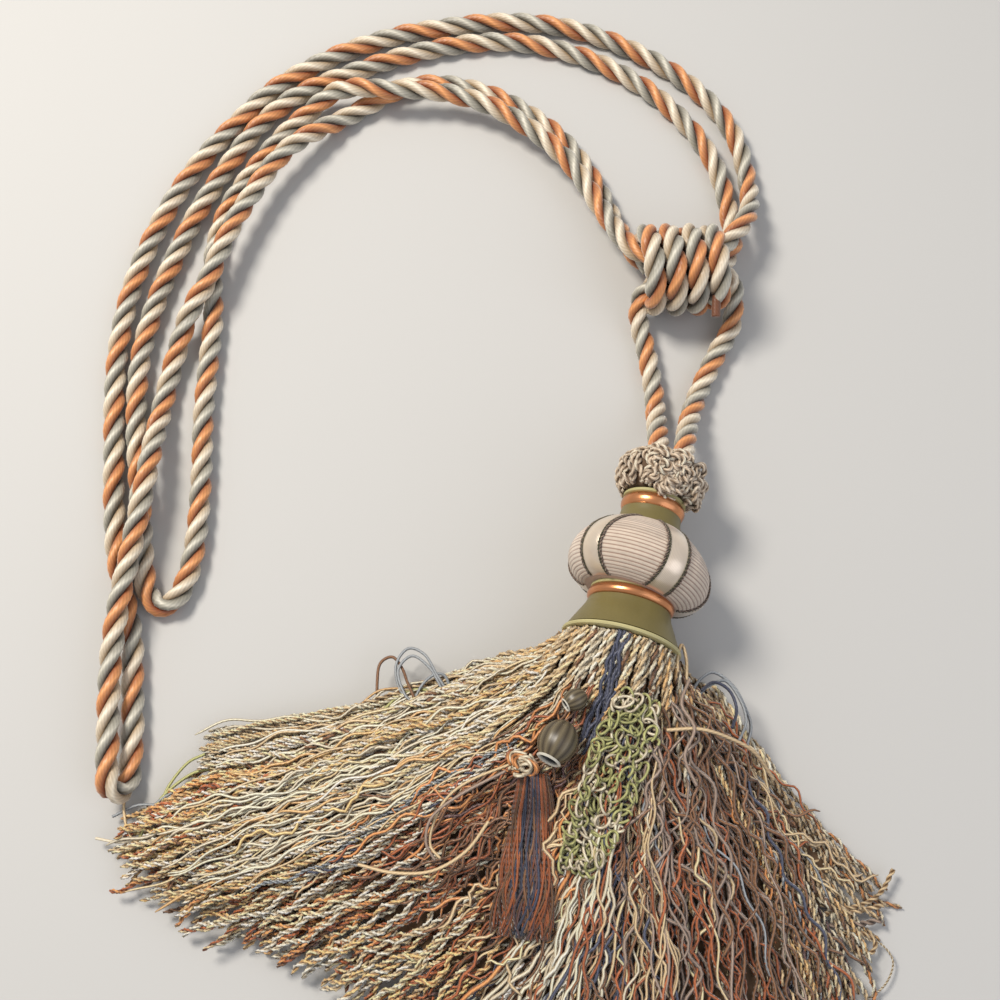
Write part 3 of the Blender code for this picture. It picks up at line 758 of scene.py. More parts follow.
@dataclass(frozen=True)
class YarnFinish:
    """Dyed yarn whose colour, with its painted highlight and painted shade, lies on the mesh, with fine
    filaments over it.
    """

    name: str
    roughness: float = 0.6
    sheen: float = 0.3
    specular: float = 0.3
    filaments_round: float = 6.0
    filaments_along: float = 300.0
    depth: float = 0.25
    relief: float = 0.00012

    def material(self) -> Material:
        """Builds the yarn's material."""
        made, shader = new_material(self.name)
        nodes, links = made.node_tree.nodes, made.node_tree.links
        # The dye attribute holds each point's dye colour with its painted highlight and painted shade.
        dye = nodes.new("ShaderNodeVertexColor")
        dye.layer_name = "dye"
        fine = place_group(made, Effects.filaments(), "UV",
                           {"Round": self.filaments_round, "Along": self.filaments_along,
                            "Depth": self.depth})
        cloud = place_group(made, Effects.mottle(), "Object", {"Scale": 400.0, "Depth": 0.22})
        colour = multiply(made, dye.outputs["Color"], fine.outputs["Shade"])
        colour = multiply(made, colour, cloud.outputs["Value"])
        links.new(colour, shader.inputs["Base Color"])
        set_inputs(shader, {"Roughness": self.roughness, "Sheen Weight": self.sheen,
                            "Sheen Roughness": 0.4, "Specular IOR Level": self.specular})
        add_bump(made, fine.outputs["Height"], self.relief, 0.6)
        return made


@dataclass(frozen=True)
class LacquerFinish:
    """A matt or lacquered coat of paint or packed fibre, slightly cloudy."""

    name: str
    colour: Colour
    roughness: float
    cloud_scale: float
    cloud_depth: float
    coat: float

    def material(self) -> Material:
        """Builds the lacquer's material."""
        made, shader = new_material(self.name)
        cloud = place_group(made, Effects.mottle(), "Object",
                            {"Scale": self.cloud_scale, "Depth": self.cloud_depth})
        grain = place_group(made, Effects.mottle(), "Object", {"Scale": 1400.0, "Depth": 0.15})
        colour = multiply(made, plain_colour(made, self.colour), cloud.outputs["Value"])
        colour = multiply(made, colour, grain.outputs["Value"])
        made.node_tree.links.new(colour, shader.inputs["Base Color"])
        uneven_roughness(made, cloud.outputs["Height"], self.roughness * 0.8,
                         min(1.0, self.roughness * 1.25))
        set_inputs(shader, {"Coat Weight": self.coat})
        add_bump(made, grain.outputs["Height"], 0.00006, 0.35)
        return made


@dataclass(frozen=True)
class BandFinish:
    """A bright metal band, finely brushed."""

    name: str
    colour: Colour
    roughness: float

    def material(self) -> Material:
        """Builds the band's material."""
        made, shader = new_material(self.name)
        cloud = place_group(made, Effects.mottle(), "Object", {"Scale": 260.0, "Depth": 0.3})
        colour = multiply(made, plain_colour(made, self.colour), cloud.outputs["Value"])
        made.node_tree.links.new(colour, shader.inputs["Base Color"])
        uneven_roughness(made, cloud.outputs["Height"], self.roughness * 0.8, self.roughness * 1.5)
        set_inputs(shader, {"Metallic": 0.85})
        return made


@dataclass(frozen=True)
class SatinFinish:
    """Satin ribbon: close warp threads along it, with a soft lustre."""

    name: str
    colour: Colour

    def material(self) -> Material:
        """Builds the ribbon's material."""
        made, shader = new_material(self.name)
        warp = place_group(made, Effects.filaments(), "UV", {"Round": 34.0, "Along": 0.0, "Depth": 0.14})
        cloud = place_group(made, Effects.mottle(), "Object", {"Scale": 150.0, "Depth": 0.18})
        colour = multiply(made, plain_colour(made, self.colour), warp.outputs["Shade"])
        colour = multiply(made, colour, cloud.outputs["Value"])
        made.node_tree.links.new(colour, shader.inputs["Base Color"])
        set_inputs(shader, {"Roughness": 0.28, "Metallic": 0.6, "Sheen Weight": 0.25, "Anisotropic": 0.6})
        add_bump(made, warp.outputs["Height"], 0.00004, 0.4)
        return made


# ---- Ropes ----
# The rope's three strand dyes, each with its painted highlight and painted shade.
ROPE_DYES = [(dye.lit_crest, dye.shaded_groove) for dye in (Dye.CREAM, Dye.COPPER, Dye.SAGE)]
ROPE_SIDES = 12
WHIPPING = np.array(linear(118, 72, 46))


@dataclass
class RopeStretch:
    """One stretch of the three-strand rope, from the knot's bundle and along its own route.

    Its pitch is the length of one turn of the strands, given at even shares of the way along.
    """

    name: str
    route: tuple[Point, ...]
    inside: tuple[Point, ...]
    back: tuple[Point, ...] = ()
    pitch: tuple[float, ...] = (0.028,)
    phase: float = 0.0
    step: float = 0.0020

    def line(self) -> np.ndarray:
        """Centreline from the bundle, along the route and back into the bundle."""
        return evenly(catmull(np.array(self.inside + self.route + self.back) * MM, 12), self.step)

    def build(self, look: Material) -> Object:
        """Args:
            look: the rope's material.

        Returns:
            The rope's piece.
        """
        line = self.line()
        share = np.linspace(0, 1, len(line))
        pitch = np.interp(share, np.linspace(0, 1, len(self.pitch)), self.pitch)
        mesh = YarnMesh()
        mesh.cord(line, ROPE_DIAMETER, 3, pitch[None], ROPE_DYES, ROPE_SIDES, self.phase)
        piece = settle(mesh.build(self.name + "_yarn", look), "rope_yarn", self.name)
        return piece


@dataclass
class BarrelKnot:
    """Turns of rope wrapped side by side over the bundle, and the bound end tucked in beside them."""

    centre: Point = (0.0790, 0.2280, 0.0199)
    turns: int = 4
    pitch: float = 0.0092
    radius: float = 0.0154
    overrun: float = 0.42  # how many turns the wrap runs on at either end, to be tucked under
    full_overrun: float = 0.22  # the part of the overrun that still lies at the full radius
    tuck: float = 0.0095
    tuck_inwards: float = 0.0080
    swell: float = 1.04  # the wrapped rope's diameter over the plain rope's
    lay_pitch: float = 0.029
    lay_phase: float = 0.6
    bundle_ropes: int = 6
    bundle_radius: float = 0.0062
    bundle_diameter: float = 0.0078
    bundle_twist: float = 0.8
    bound_foot: Point = (0.0926, 0.2035, 0.0225)
    bound_rise: Point = (0.0002, 0.0085, 0.0030)
    bound_radius: float = 0.0019

    def line(self) -> np.ndarray:
        """The wrapped rope's centreline, with both ends tucked under.

        Returns:
            Its points.
        """
        last = self.turns - 1
        turn = np.linspace(-self.overrun, last + self.overrun, round((last + 2 * self.overrun) * 64))
        angle = FULL_TURN * turn + np.pi / 2
        over = np.maximum(np.maximum(-turn, turn - last) - self.full_overrun, 0)
        beyond = over / (self.overrun - self.full_overrun)
        radius = self.radius - self.tuck * smoothstep(0, 1, beyond)
        along = (turn - last / 2) * self.pitch
        along -= np.sign(along) * self.tuck_inwards * beyond
        x, y, z = self.centre
        return np.stack([x + along, y + radius * np.cos(angle), z + radius * np.sin(angle)], axis=1)

    def build(self, look: Material) -> None:
        """Builds the turns, the packing of the bundle and the bound end.

        Args:
            look: the rope's material.
        """
        wrap = YarnMesh()
        wrap.cord(evenly(self.line(), 0.0018), ROPE_DIAMETER * self.swell, 3, self.lay_pitch, ROPE_DYES,
                  ROPE_SIDES, self.lay_phase)
        settle(wrap.build("knot_wrap_yarn", look), "rope_yarn", "knot_wrap")
        settle(self._packing().build("knot_bundle_yarn", look), "rope_yarn")
        bound = YarnMesh()
        foot = np.array(self.bound_foot)
        line = catmull(np.array([foot, foot + np.array(self.bound_rise)]), 20)
        bound.sweep(evenly(line, 0.0006), self.bound_radius, WHIPPING, Dye.BROWN.shaded_groove, sides=14)
        settle(bound.build("knot_bound_end", look), "rope_yarn")

    def _packing(self) -> YarnMesh:
        """Fills the wrap with dark cords: one in the middle and the rest round it.

        Returns:
            The cords.
        """
        x, y, z = self.centre
        half = (self.turns - 1.3) * self.pitch / 2
        mesh = YarnMesh()
        for k in range(self.bundle_ropes + 1):
            angle = FULL_TURN * k / self.bundle_ropes
            out = 0.0 if k == self.bundle_ropes else self.bundle_radius
            ends = [(x + way * half, y + out * np.cos(angle + turn), z + out * np.sin(angle + turn))
                    for way, turn in ((-1, 0.0), (1, self.bundle_twist))]
            mesh.cord(evenly(catmull(np.array(ends), 30), 0.0016), self.bundle_diameter, 3, 0.024,
                      [(Dye.BROWN.lit_crest, Dye.BROWN.shaded_groove)] * 3, sides=8)
        return mesh


@dataclass
class Tieback:
    """The rope part: two loops, two legs and the knot that binds them."""

    finish: YarnFinish = YarnFinish("rope_satin_yarn", roughness=0.42, sheen=0.35, specular=0.45,
                                    filaments_round=9.0, filaments_along=620.0, depth=0.16,
                                    relief=0.00010)
    stretches: list[RopeStretch] = field(default_factory=lambda: [
        RopeStretch("rope_long_loop", LONG_LOOP, LONG_LOOP_INSIDE, LONG_LOOP_BACK,
                    (0.033, 0.034, 0.031, 0.030, 0.031, 0.034, 0.035, 0.034), 0.4),
        RopeStretch("rope_short_loop", SHORT_LOOP, SHORT_LOOP_INSIDE, SHORT_LOOP_BACK,
                    (0.033, 0.034, 0.030, 0.028, 0.030, 0.034, 0.035, 0.034), 2.2),
        RopeStretch("rope_left_leg", LEFT_LEG, LEFT_LEG_INSIDE, LEFT_LEG_END, (0.025,), 1.0),
        RopeStretch("rope_right_leg", RIGHT_LEG, RIGHT_LEG_INSIDE, RIGHT_LEG_END, (0.025,), 3.0),
    ])

    def build(self) -> None:
        """Builds the ropes and the knot."""
        look = self.finish.material()
        for stretch in self.stretches:
            stretch.build(look)
        BarrelKnot().build(look)


# ---- Tassel head ----
class HeadFrame:
    """The tassel head's own frame: local X is near +X, Y is up and Z runs towards the skirt."""

    CENTRE = np.array([0.0540, 0.0880, 0.0282])
    LEAN = math.radians(15.0)
    PITCH = math.radians(2.5)

    def __init__(self, extra_lean: float = 0.0) -> None:
        """Works out the three directions, after a further turn in plan by extra_lean degrees."""
        lean = self.LEAN + math.radians(extra_lean)
        along = np.array([-math.sin(lean) * math.cos(self.PITCH), -math.cos(lean) * math.cos(self.PITCH),
                          math.sin(self.PITCH)])
        side = unit(np.cross([0.0, 0.0, 1.0], along))
        up = np.cross(along, side)
        self.axes = np.stack([side, up, along])

    def place(self, local: np.ndarray) -> np.ndarray:
        """Local points, in metres, in the scene's frame."""
        return np.asarray(local, float) @ self.axes + self.CENTRE

    def turned(self, angle: np.ndarray, radius: np.ndarray, station: np.ndarray) -> np.ndarray:
        """Points at an angle from the top towards the right, at a radius and a station."""
        angle, radius, station = np.broadcast_arrays(angle, radius, station)
        return self.place(np.stack([radius * np.sin(angle), radius * np.cos(angle), station], axis=-1))


HEAD = HeadFrame()
BULB_SEAT = HeadFrame(5.0)  # the soft bulb sits a little askew between its collars

# Profiles of the turned parts, as station along the axis and radius, in millimetres.
BULB_PROFILE = ((-17.9, 11.8), (-16.8, 15.0), (-14.2, 19.2), (-11.0, 22.8), (-7.5, 25.6), (-3.8, 27.3),
                (0.0, 27.9), (3.4, 27.4), (6.2, 25.9), (8.4, 23.7), (9.9, 21.4), (10.7, 19.4),
                (10.9, 18.0))
RUFF_PROFILE = ((-50.8, 3.0), (-50.4, 7.0), (-49.4, 11.5), (-46.6, 15.4), (-42.8, 17.6), (-38.4, 17.9),
                (-34.8, 16.6), (-32.4, 14.0), (-31.4, 10.5))
UPPER_COLLAR_PROFILE = ((-31.1, 9.0), (-31.1, 11.8), (-30.7, 12.6), (-29.6, 12.7), (-29.3, 11.9),
                        (-29.3, 10.2), (-24.2, 10.2), (-24.2, 12.0), (-21.6, 12.3), (-18.2, 13.3),
                        (-17.2, 13.6), (-17.2, 9.0))
UPPER_RING_PROFILE = ((-29.2, 10.0), (-29.2, 11.7), (-28.5, 12.5), (-27.2, 12.9), (-26.0, 12.8),
                      (-24.7, 12.3), (-24.3, 11.9), (-24.3, 10.0))
LOWER_COLLAR_PROFILE = ((9.4, 12.0), (9.4, 15.6), (10.2, 16.4), (11.1, 16.4), (11.3, 15.8),
                        (11.3, 13.4), (15.6, 13.4), (15.6, 16.2), (18.5, 17.1), (24.0, 19.9),
                        (29.0, 22.4), (29.0, 12.0))
LOWER_RING_PROFILE = ((11.4, 13.0), (11.4, 16.0), (12.1, 16.8), (13.3, 17.2), (14.4, 17.1),
                      (15.2, 16.6), (15.5, 16.1), (15.5, 13.0))
RIM_PROFILE = ((29.3, 12.0), (29.3, 22.4), (29.6, 23.1), (30.2, 23.3), (30.8, 23.0), (31.0, 22.2),
               (31.0, 12.0))


TURNED_STEPS = 3  # rings in each span of a turned profile


def turned_piece(name: str, profile: Outline, look: Material, segments: int = 96,
                 shrink: float = 0.0) -> Object:
    """Turns a profile about the head's axis.

    Args:
        name: the piece's name.
        profile: stations and radii, in millimetres.
        look: its material.
        segments: how many sides it has.
        shrink: how much smaller every radius is, in metres.

    Returns:
        The closed piece.
    """
    rows = np.array(profile) * MM
    share = np.linspace(0, 1, TURNED_STEPS + 1)[1:, None]
    spans = [first + (last - first) * share for first, last in zip(rows[:-1], rows[1:])]
    rows = np.vstack([rows[:1], *spans])
    angle = FULL_TURN * np.arange(segments) / segments
    points = HEAD.turned(angle[None], np.maximum(rows[:, 1:] - shrink, 0.001), rows[:, :1])
    return grid_mesh(name, points, look)


@dataclass
class Ruff:
    """Knobbly ball of cut cord loops where the rope enters the head."""

    strands: int = 44
    strand_pitch: float = 0.0074
    curls: int = 32
    curl_pitch: float = 0.0070
    curl_size: tuple[float, float] = (0.0024, 0.0038)
    curl_angles: tuple[float, float] = (-25, 125)  # degrees from the top towards the right
    curl_stations: tuple[float, float] = (-46.5, -31.0)  # millimetres along the head's axis
    collar_station: float = -0.033  # curls beyond this one ride over the collar's flange
    flange_lift: float = 0.0012
    diameter: float = 0.0030
    shade: LacquerFinish = LacquerFinish("ruff_shade", linear(112, 88, 66), roughness=0.9,
                                         cloud_scale=300.0, cloud_depth=0.5, coat=0.0)
    finish: YarnFinish = YarnFinish("ruff_yarn", roughness=0.7, sheen=0.3, specular=0.2,
                                    filaments_round=4.0, filaments_along=700.0, depth=0.3)
    seed: int = 11

    def build(self) -> None:
        """Builds the dark heart, which is painted shade showing between the strands, then the strands over it
        and the curls on its right.
        """
        look = self.finish.material()
        heart = turned_piece("ruff_heart", RUFF_PROFILE, self.shade.material(), segments=48, shrink=0.0022)
        settle(heart, "ruff_yarn")
        rng = np.random.default_rng(self.seed)
        mesh = YarnMesh()
        self._lay_strands(mesh, rng)
        self._lay_curls(mesh, rng)
        settle(mesh.build("ruff_strands", look), "ruff_yarn", "ruff")

    @staticmethod
    def _dyes(rng: np.random.Generator) -> PlyDyes:
        """Two plies of nearly one colour.

        Args:
            rng: the seeded source of chance.

        Returns:
            The dyes of both, each as its painted highlight and painted shade colour.
        """
        tone = rng.uniform(0.85, 1.12)
        warmer = np.array([0.90, 0.86, 0.82])
        return [(Dye.MOP.lit_crest * tone, Dye.MOP.shaded_groove * tone),
                (Dye.MOP.lit_crest * tone * warmer, Dye.MOP.shaded_groove * tone * 0.8)]

    def _lay_strands(self, mesh: YarnMesh, rng: np.random.Generator) -> None:
        """Lays strands from the rope over the ball's side to the collar.

        Args:
            mesh: gathers the yarns.
            rng: the seeded source of chance.
        """
        profile = catmull(np.array([(z, r, 0) for z, r in RUFF_PROFILE]) * MM, 8)
        rows = np.arange(len(profile))
        for k in range(self.strands):
            span = np.linspace(rng.uniform(0.04, 0.16), rng.uniform(0.82, 0.9), 40)
            place = span * (len(profile) - 1)
            station = np.interp(place, rows, profile[:, 0])
            radius = np.interp(place, rows, profile[:, 1])
            drift = rng.uniform(0.1, 0.8)
            wave = 0.16 * np.sin(FULL_TURN * (span * rng.uniform(1.0, 2.2) + rng.uniform()))
            angle = FULL_TURN * (k + rng.uniform(-0.3, 0.3)) / self.strands + drift * span + wave
            radius = radius - 0.0011 + rng.uniform(-0.0007, 0.0007)
            line = evenly(HEAD.turned(angle, np.maximum(radius, 0.002), station), 0.0008)
            mesh.cord(line, self.diameter * rng.uniform(0.9, 1.08), 2, self.strand_pitch,
                      self._dyes(rng), 5, rng.uniform(0, 6.28))

    def _lay_curls(self, mesh: YarnMesh, rng: np.random.Generator) -> None:
        """Curls loops of cord on the front and the right of the ball.

        Args:
            mesh: gathers the yarns.
            rng: the seeded source of chance.
        """
        stations, radii = zip(*RUFF_PROFILE)
        for _ in range(self.curls):
            angle = math.radians(rng.uniform(*self.curl_angles))
            station = rng.uniform(*self.curl_stations) * MM
            radius = np.interp(station / MM, stations, radii) * MM - 0.0004 + rng.uniform(0, 0.0009)
            if station > self.collar_station:
                radius += self.flange_lift
            turn = np.linspace(0, FULL_TURN * rng.uniform(0.6, 0.95), 26) + rng.uniform(0, 6.28)
            size = rng.uniform(*self.curl_size)
            across = size * np.cos(turn) / max(radius, 0.006)
            along = size * 0.8 * np.sin(turn)
            lift = 0.0007 * np.sin(turn * 1.5)
            line = evenly(HEAD.turned(angle + across, radius + lift, station + along), 0.0006)
            mesh.cord(line, self.diameter * rng.uniform(0.85, 1.0), 2, self.curl_pitch,
                      self._dyes(rng), 5, rng.uniform(0, 6.28))


@dataclass
class TurnedFittings:
    """The two lacquered collars, their copper rings and the pale bead that holds the skirt."""

    lacquer: LacquerFinish = LacquerFinish("olive_lacquer", linear(122, 110, 62), roughness=0.45,
                                           cloud_scale=70.0, cloud_depth=0.35, coat=0.1)
    flange: LacquerFinish = LacquerFinish("pale_olive_flange", linear(190, 182, 128), roughness=0.6,
                                          cloud_scale=160.0, cloud_depth=0.25, coat=0.0)
    pale: LacquerFinish = LacquerFinish("pale_bead", linear(198, 188, 136), roughness=0.5,
                                        cloud_scale=200.0, cloud_depth=0.25, coat=0.05)
    copper: BandFinish = BandFinish("copper_band", linear(222, 152, 104), roughness=0.26)

    def build(self) -> None:
        """Builds the five turned pieces."""
        lacquer, copper = self.lacquer.material(), self.copper.material()
        flange, pale = self.flange.material(), self.pale.material()
        for place, collar, ring, edge in (
                ("upper", UPPER_COLLAR_PROFILE, UPPER_RING_PROFILE, -29.2),
                ("lower", LOWER_COLLAR_PROFILE, LOWER_RING_PROFILE, 11.4)):
            turned = turned_piece(f"{place}_collar_turned", collar, lacquer)
            self._paint_flange(turned, flange, edge)
            settle(turned, "olive_lacquer", f"{place}_collar")
            settle(turned_piece(f"{place}_ring_turned", ring, copper), "copper_band", f"{place}_ring")
        settle(turned_piece("rim_bead_turned", RIM_PROFILE, pale), "pale_bead", "rim_bead")

    @staticmethod
    def _paint_flange(piece: Object, look: Material, station: float) -> None:
        """Gives the faces before a station, in millimetres, the flange's own colour.

        Args:
            piece: the collar.
            look: the flange's material.
            station: where the flange ends.
        """
        piece.data.materials.append(look)
        for face in piece.data.polygons:
            local = (np.array(face.center) - HEAD.CENTRE) @ HEAD.axes.T
            if local[2] < station * MM:
                face.material_index = 1


@dataclass
class Bulb:
    """The padded bulb: close windings in five panels, with satin ribbons edged in fine cord."""

    rib: float = 0.00155
    rib_height: float = 0.00030
    # How far from each turn's edge, as a share of a rib, the painted shade fades into the painted highlight.
    groove_shade_share: float = 0.26
    ring_step: float = 0.00022
    segments: int = 96
    ribbons: int = 5
    phase: float = 25.5  # degrees to the first ribbon from the top towards the right
    ribbon_half_width: float = 0.0042
    ribbon_lift: float = 0.0007
    ribbon_crown: float = 0.0005
    edging_lift: float = 0.00075
    edging_diameter: float = 0.00105
    edging_pitch: float = 0.0026
    edging_spacing: float = 0.00085
    edging_weave: float = 0.00012
    weaves: int = 9
    winding: YarnFinish = YarnFinish("bulb_winding", roughness=0.62, sheen=0.3, specular=0.25,
                                     filaments_round=600.0, filaments_along=900.0, depth=0.08)
    satin: SatinFinish = SatinFinish("ribbon_satin", linear(244, 226, 204))
    edging: YarnFinish = YarnFinish("ribbon_edging", roughness=0.6, sheen=0.3, specular=0.25,
                                    filaments_round=3.0, filaments_along=900.0, depth=0.25)
    seed: int = 5

    def __post_init__(self) -> None:
        """Smooths the bulb's profile."""
        rows = np.array([(z, r, 0) for z, r in BULB_PROFILE]) * MM
        self._profile = evenly(catmull(rows, 16), self.ring_step)

    def build(self) -> None:
        """Builds the windings, the ribbons and their edging."""
        self._build_windings()
        satin, edging = self.satin.material(), self.edging.material()
        fine = YarnMesh()
        for k in range(self.ribbons):
            centre = math.radians(self.phase + 360 / self.ribbons * k)
            piece = self._build_ribbon(k + 1, centre, satin)
            settle(piece, "satin_ribbon", f"bulb_ribbon_{k + 1}")
            self._lay_edging(fine, centre)
        settle(fine.build("bulb_edging_cords", edging), "ribbed_cord")

    def _build_windings(self) -> None:
        """Winds the bulb: every rib is a turn of yarn in its own tone, with painted highlight on its top and
        painted shade in the hollow between turns.
        """
        rows = self._profile
        run = run_along(rows)
        share = (run / self.rib) % 1.0
        height = self.rib_height * np.sqrt(np.maximum(0, 1 - (2 * share - 1) ** 2))
        angle = FULL_TURN * np.arange(self.segments) / self.segments
        points = BULB_SEAT.turned(angle[None], (rows[:, 1] + height)[:, None], rows[:, :1])
        rng = np.random.default_rng(self.seed)
        tone = rng.uniform(0.88, 1.04, int(run[-1] / self.rib) + 2)[(run / self.rib).astype(int)]
        # Painted highlight on the top of each turn, painted shade in the hollow between turns.
        lit_crest = smoothstep(0.0, self.groove_shade_share, np.minimum(share, 1 - share))[:, None]
        # The painted shade in the grooves is lighter where the turns start under the upper collar.
        lit_crest = lit_crest + (1 - lit_crest) * 0.45 * smoothstep(0.010, 0.0, run)[:, None]
        colour = (Dye.WINDING.shaded_groove + (Dye.WINDING.lit_crest - Dye.WINDING.shaded_groove) * lit_crest) * tone[:, None]
        colours = np.broadcast_to(colour[:, None], (len(rows), self.segments, 3))
        piece = grid_mesh("bulb_windings", points, self.winding.material(), colours, sharp=180)
        settle(piece, "ribbed_cord", "bulb")

    def _line_at(self, angle: float, offset: float, lift: float, wave: float = 0.0) -> np.ndarray:
        """A line down the bulb at a fixed distance beside a meridian.

        Args:
            angle: the meridian, in radians from the top towards the right.
            offset: how far to its right the line runs.
            lift: how far over the windings.
            wave: how far the line weaves from side to side.

        Returns:
            The line's points.
        """
        rows = self._profile[::3]
        run = np.linspace(0, 1, len(rows))
        turned = angle + (offset + wave * np.sin(FULL_TURN * self.weaves * run)) / rows[:, 1]
        return BULB_SEAT.turned(turned, rows[:, 1] + lift, rows[:, 0])

    def _build_ribbon(self, number: int, centre: float, look: Material) -> Object:
        """Lays one satin ribbon down the bulb.

        Args:
            number: the ribbon's number.
            centre: its angle, in radians.
            look: its material.

        Returns:
            The ribbon.
        """
        across = np.linspace(-1, 1, 9)
        top = [self._line_at(centre, a * self.ribbon_half_width,
                             self.ribbon_lift + self.ribbon_crown * (1 - a * a)) for a in across]
        under = [self._line_at(centre, a * self.ribbon_half_width, 0.0) for a in across[::-1]]
        points = np.stack(top + under, axis=1)
        return grid_mesh(f"satin_ribbon_{number}", points[:, ::-1], look, sharp=60)

    def _lay_edging(self, mesh: YarnMesh, centre: float) -> None:
        """Lays two fine twisted cords along both edges of a ribbon.

        Args:
            mesh: gathers the yarns.
            centre: the ribbon's angle, in radians.
        """
        for side in (-1, 1):
            for extra, dye, wave in ((0.0, Dye.EDGING, 0.0),
                                     (self.edging_spacing, Dye.TAUPE, self.edging_weave)):
                offset = side * (self.ribbon_half_width + extra)
                line = evenly(self._line_at(centre, offset, self.edging_lift, wave), 0.0007)
                tones = [(dye.lit_crest, dye.shaded_groove), (dye.lit_crest * 0.6, dye.shaded_groove * 0.7)]
                mesh.cord(line, self.edging_diameter, 2, self.edging_pitch, tones, sides=4)


# ---- Skirt ----
class SkirtShape:
    """The skirt's fan, as the CAD solid has it: across runs 0 to 1 over it, t from collar to tips."""

    ROOT_STATION = 0.0313
    ROOT_RADIUS = 0.0215
    ROOT_OPENING = math.radians(4.0)
    LEAD_IN = 0.040
    RIDGE = 0.0016
    RIDGES = 11

    def __init__(self) -> None:
        """Reads the locks' columns into arrays."""
        rows = np.array(LOCKS) * MM
        self._columns = {name: rows[:, k] for k, name in enumerate(LOCK_COLUMNS)}
        sample_a, sample_t = np.meshgrid(np.linspace(0, 1, 181), np.linspace(0, 1, 81), indexing="ij")
        self._samples = self.top(sample_a.ravel(), sample_t.ravel())

    def _lock(self, column: str, across: np.ndarray) -> np.ndarray:
        """A column's value at places across the fan.

        Args:
            column: its name.
            across: the places, 0 to 1.

        Returns:
            One value for each place.
        """
        values = self._columns[column]
        values = np.concatenate([[2 * values[0] - values[1]], values, [2 * values[-1] - values[-2]]])
        place = np.clip(across, 0, 1) * self.RIDGES
        start = np.minimum(place.astype(int), self.RIDGES - 1)
        return spline([values[start + k] for k in range(4)], place - start)

    def _along(self, stops: list[np.ndarray], t: np.ndarray) -> np.ndarray:
        """A smooth run from the collar to the tips, through the stops at even shares.

        Args:
            stops: a point behind the collar, then the collar, a third, two thirds and the tip.
            t: shares of the way.

        Returns:
            The run at each share.
        """
        lead, root, first, second, tip = stops
        stops = np.stack([lead, root, first, second, tip, 2 * tip - second])
        place = t * 3
        start = np.clip(place.astype(int), 0, 2)
        index = np.arange(len(t))
        return spline([stops[start + k, index] for k in range(4)], place - start)

    def _root(self, across: np.ndarray, back: float) -> np.ndarray:
        """Where the strands leave the collar, or a point behind it.

        Args:
            across: places across the fan, 0 to 1.
            back: how far behind the collar.

        Returns:
            One point for each place.
        """
        angle = self.ROOT_OPENING + np.clip(across, 0, 1) * (math.pi - 2 * self.ROOT_OPENING)
        local = np.stack([-np.cos(angle) * self.ROOT_RADIUS, np.sin(angle) * self.ROOT_RADIUS,
                          np.full_like(angle, self.ROOT_STATION - back)], axis=-1)
        return HEAD.place(local)

    def top(self, across: np.ndarray, t: np.ndarray) -> np.ndarray:
        """Points on the fan's upper face.

        Args:
            across: places across the fan, 0 to 1.
            t: shares of the way to the tips.

        Returns:
            One point for each pair.
        """
        across, t = np.broadcast_arrays(np.asarray(across, float), np.asarray(t, float))
        shape = across.shape
        across, t = across.ravel(), t.ravel()
        root, behind = self._root(across, 0.0), self._root(across, self.LEAD_IN)
        lock = {name: self._lock(name, across) for name in LOCK_COLUMNS}
        x, y = (self._along([behind[:, k], root[:, k], lock[axis + "1"], lock[axis + "2"],
                             lock["tip_" + axis]], t) for k, axis in enumerate("xy"))
        z = self._along([root[:, 2], root[:, 2], lock["crown1"], lock["crown2"], lock["crown_tip"]], t)
        z = z + self.RIDGE * np.cos(FULL_TURN * across * self.RIDGES) * np.sin(np.pi * np.clip(t, 0, 1))
        return np.stack([x, y, z], axis=-1).reshape(*shape, 3)

    def height_at(self, spots: np.ndarray) -> np.ndarray:
        """Height of the fan's upper face over points of the floor plane.

        Args:
            spots: the points.

        Returns:
            One height for each.
        """
        spots = np.asarray(spots, float).reshape(-1, 2)
        gaps = ((self._samples[None, :, :2] - spots[:, None]) ** 2).sum(-1)
        return self._samples[gaps.argmin(1), 2]


@dataclass(frozen=True)
class Lay:
    """How a family of strands lies in the fan.

    across, start and end are shares of the fan's width and length. depth is how far a strand lies
    under the fan's face, pitch and step are the length of a turn in diameters and of a ring in
    metres, and glow is how bright the dyes are.
    """

    count: int
    across: tuple[float, float]
    start: tuple[float, float]
    end: tuple[float, float]
    diameter: tuple[float, float]
    plies: int
    depth: tuple[float, float]
    dyes: tuple[tuple[Dye, float], ...]
    sway: float = 0.0012
    waves: tuple[float, float] = (1.0, 2.5)
    drift: float = 0.015
    pitch: float = 3.3
    sides: int = 4
    step: float | None = None
    glow: float = 1.0


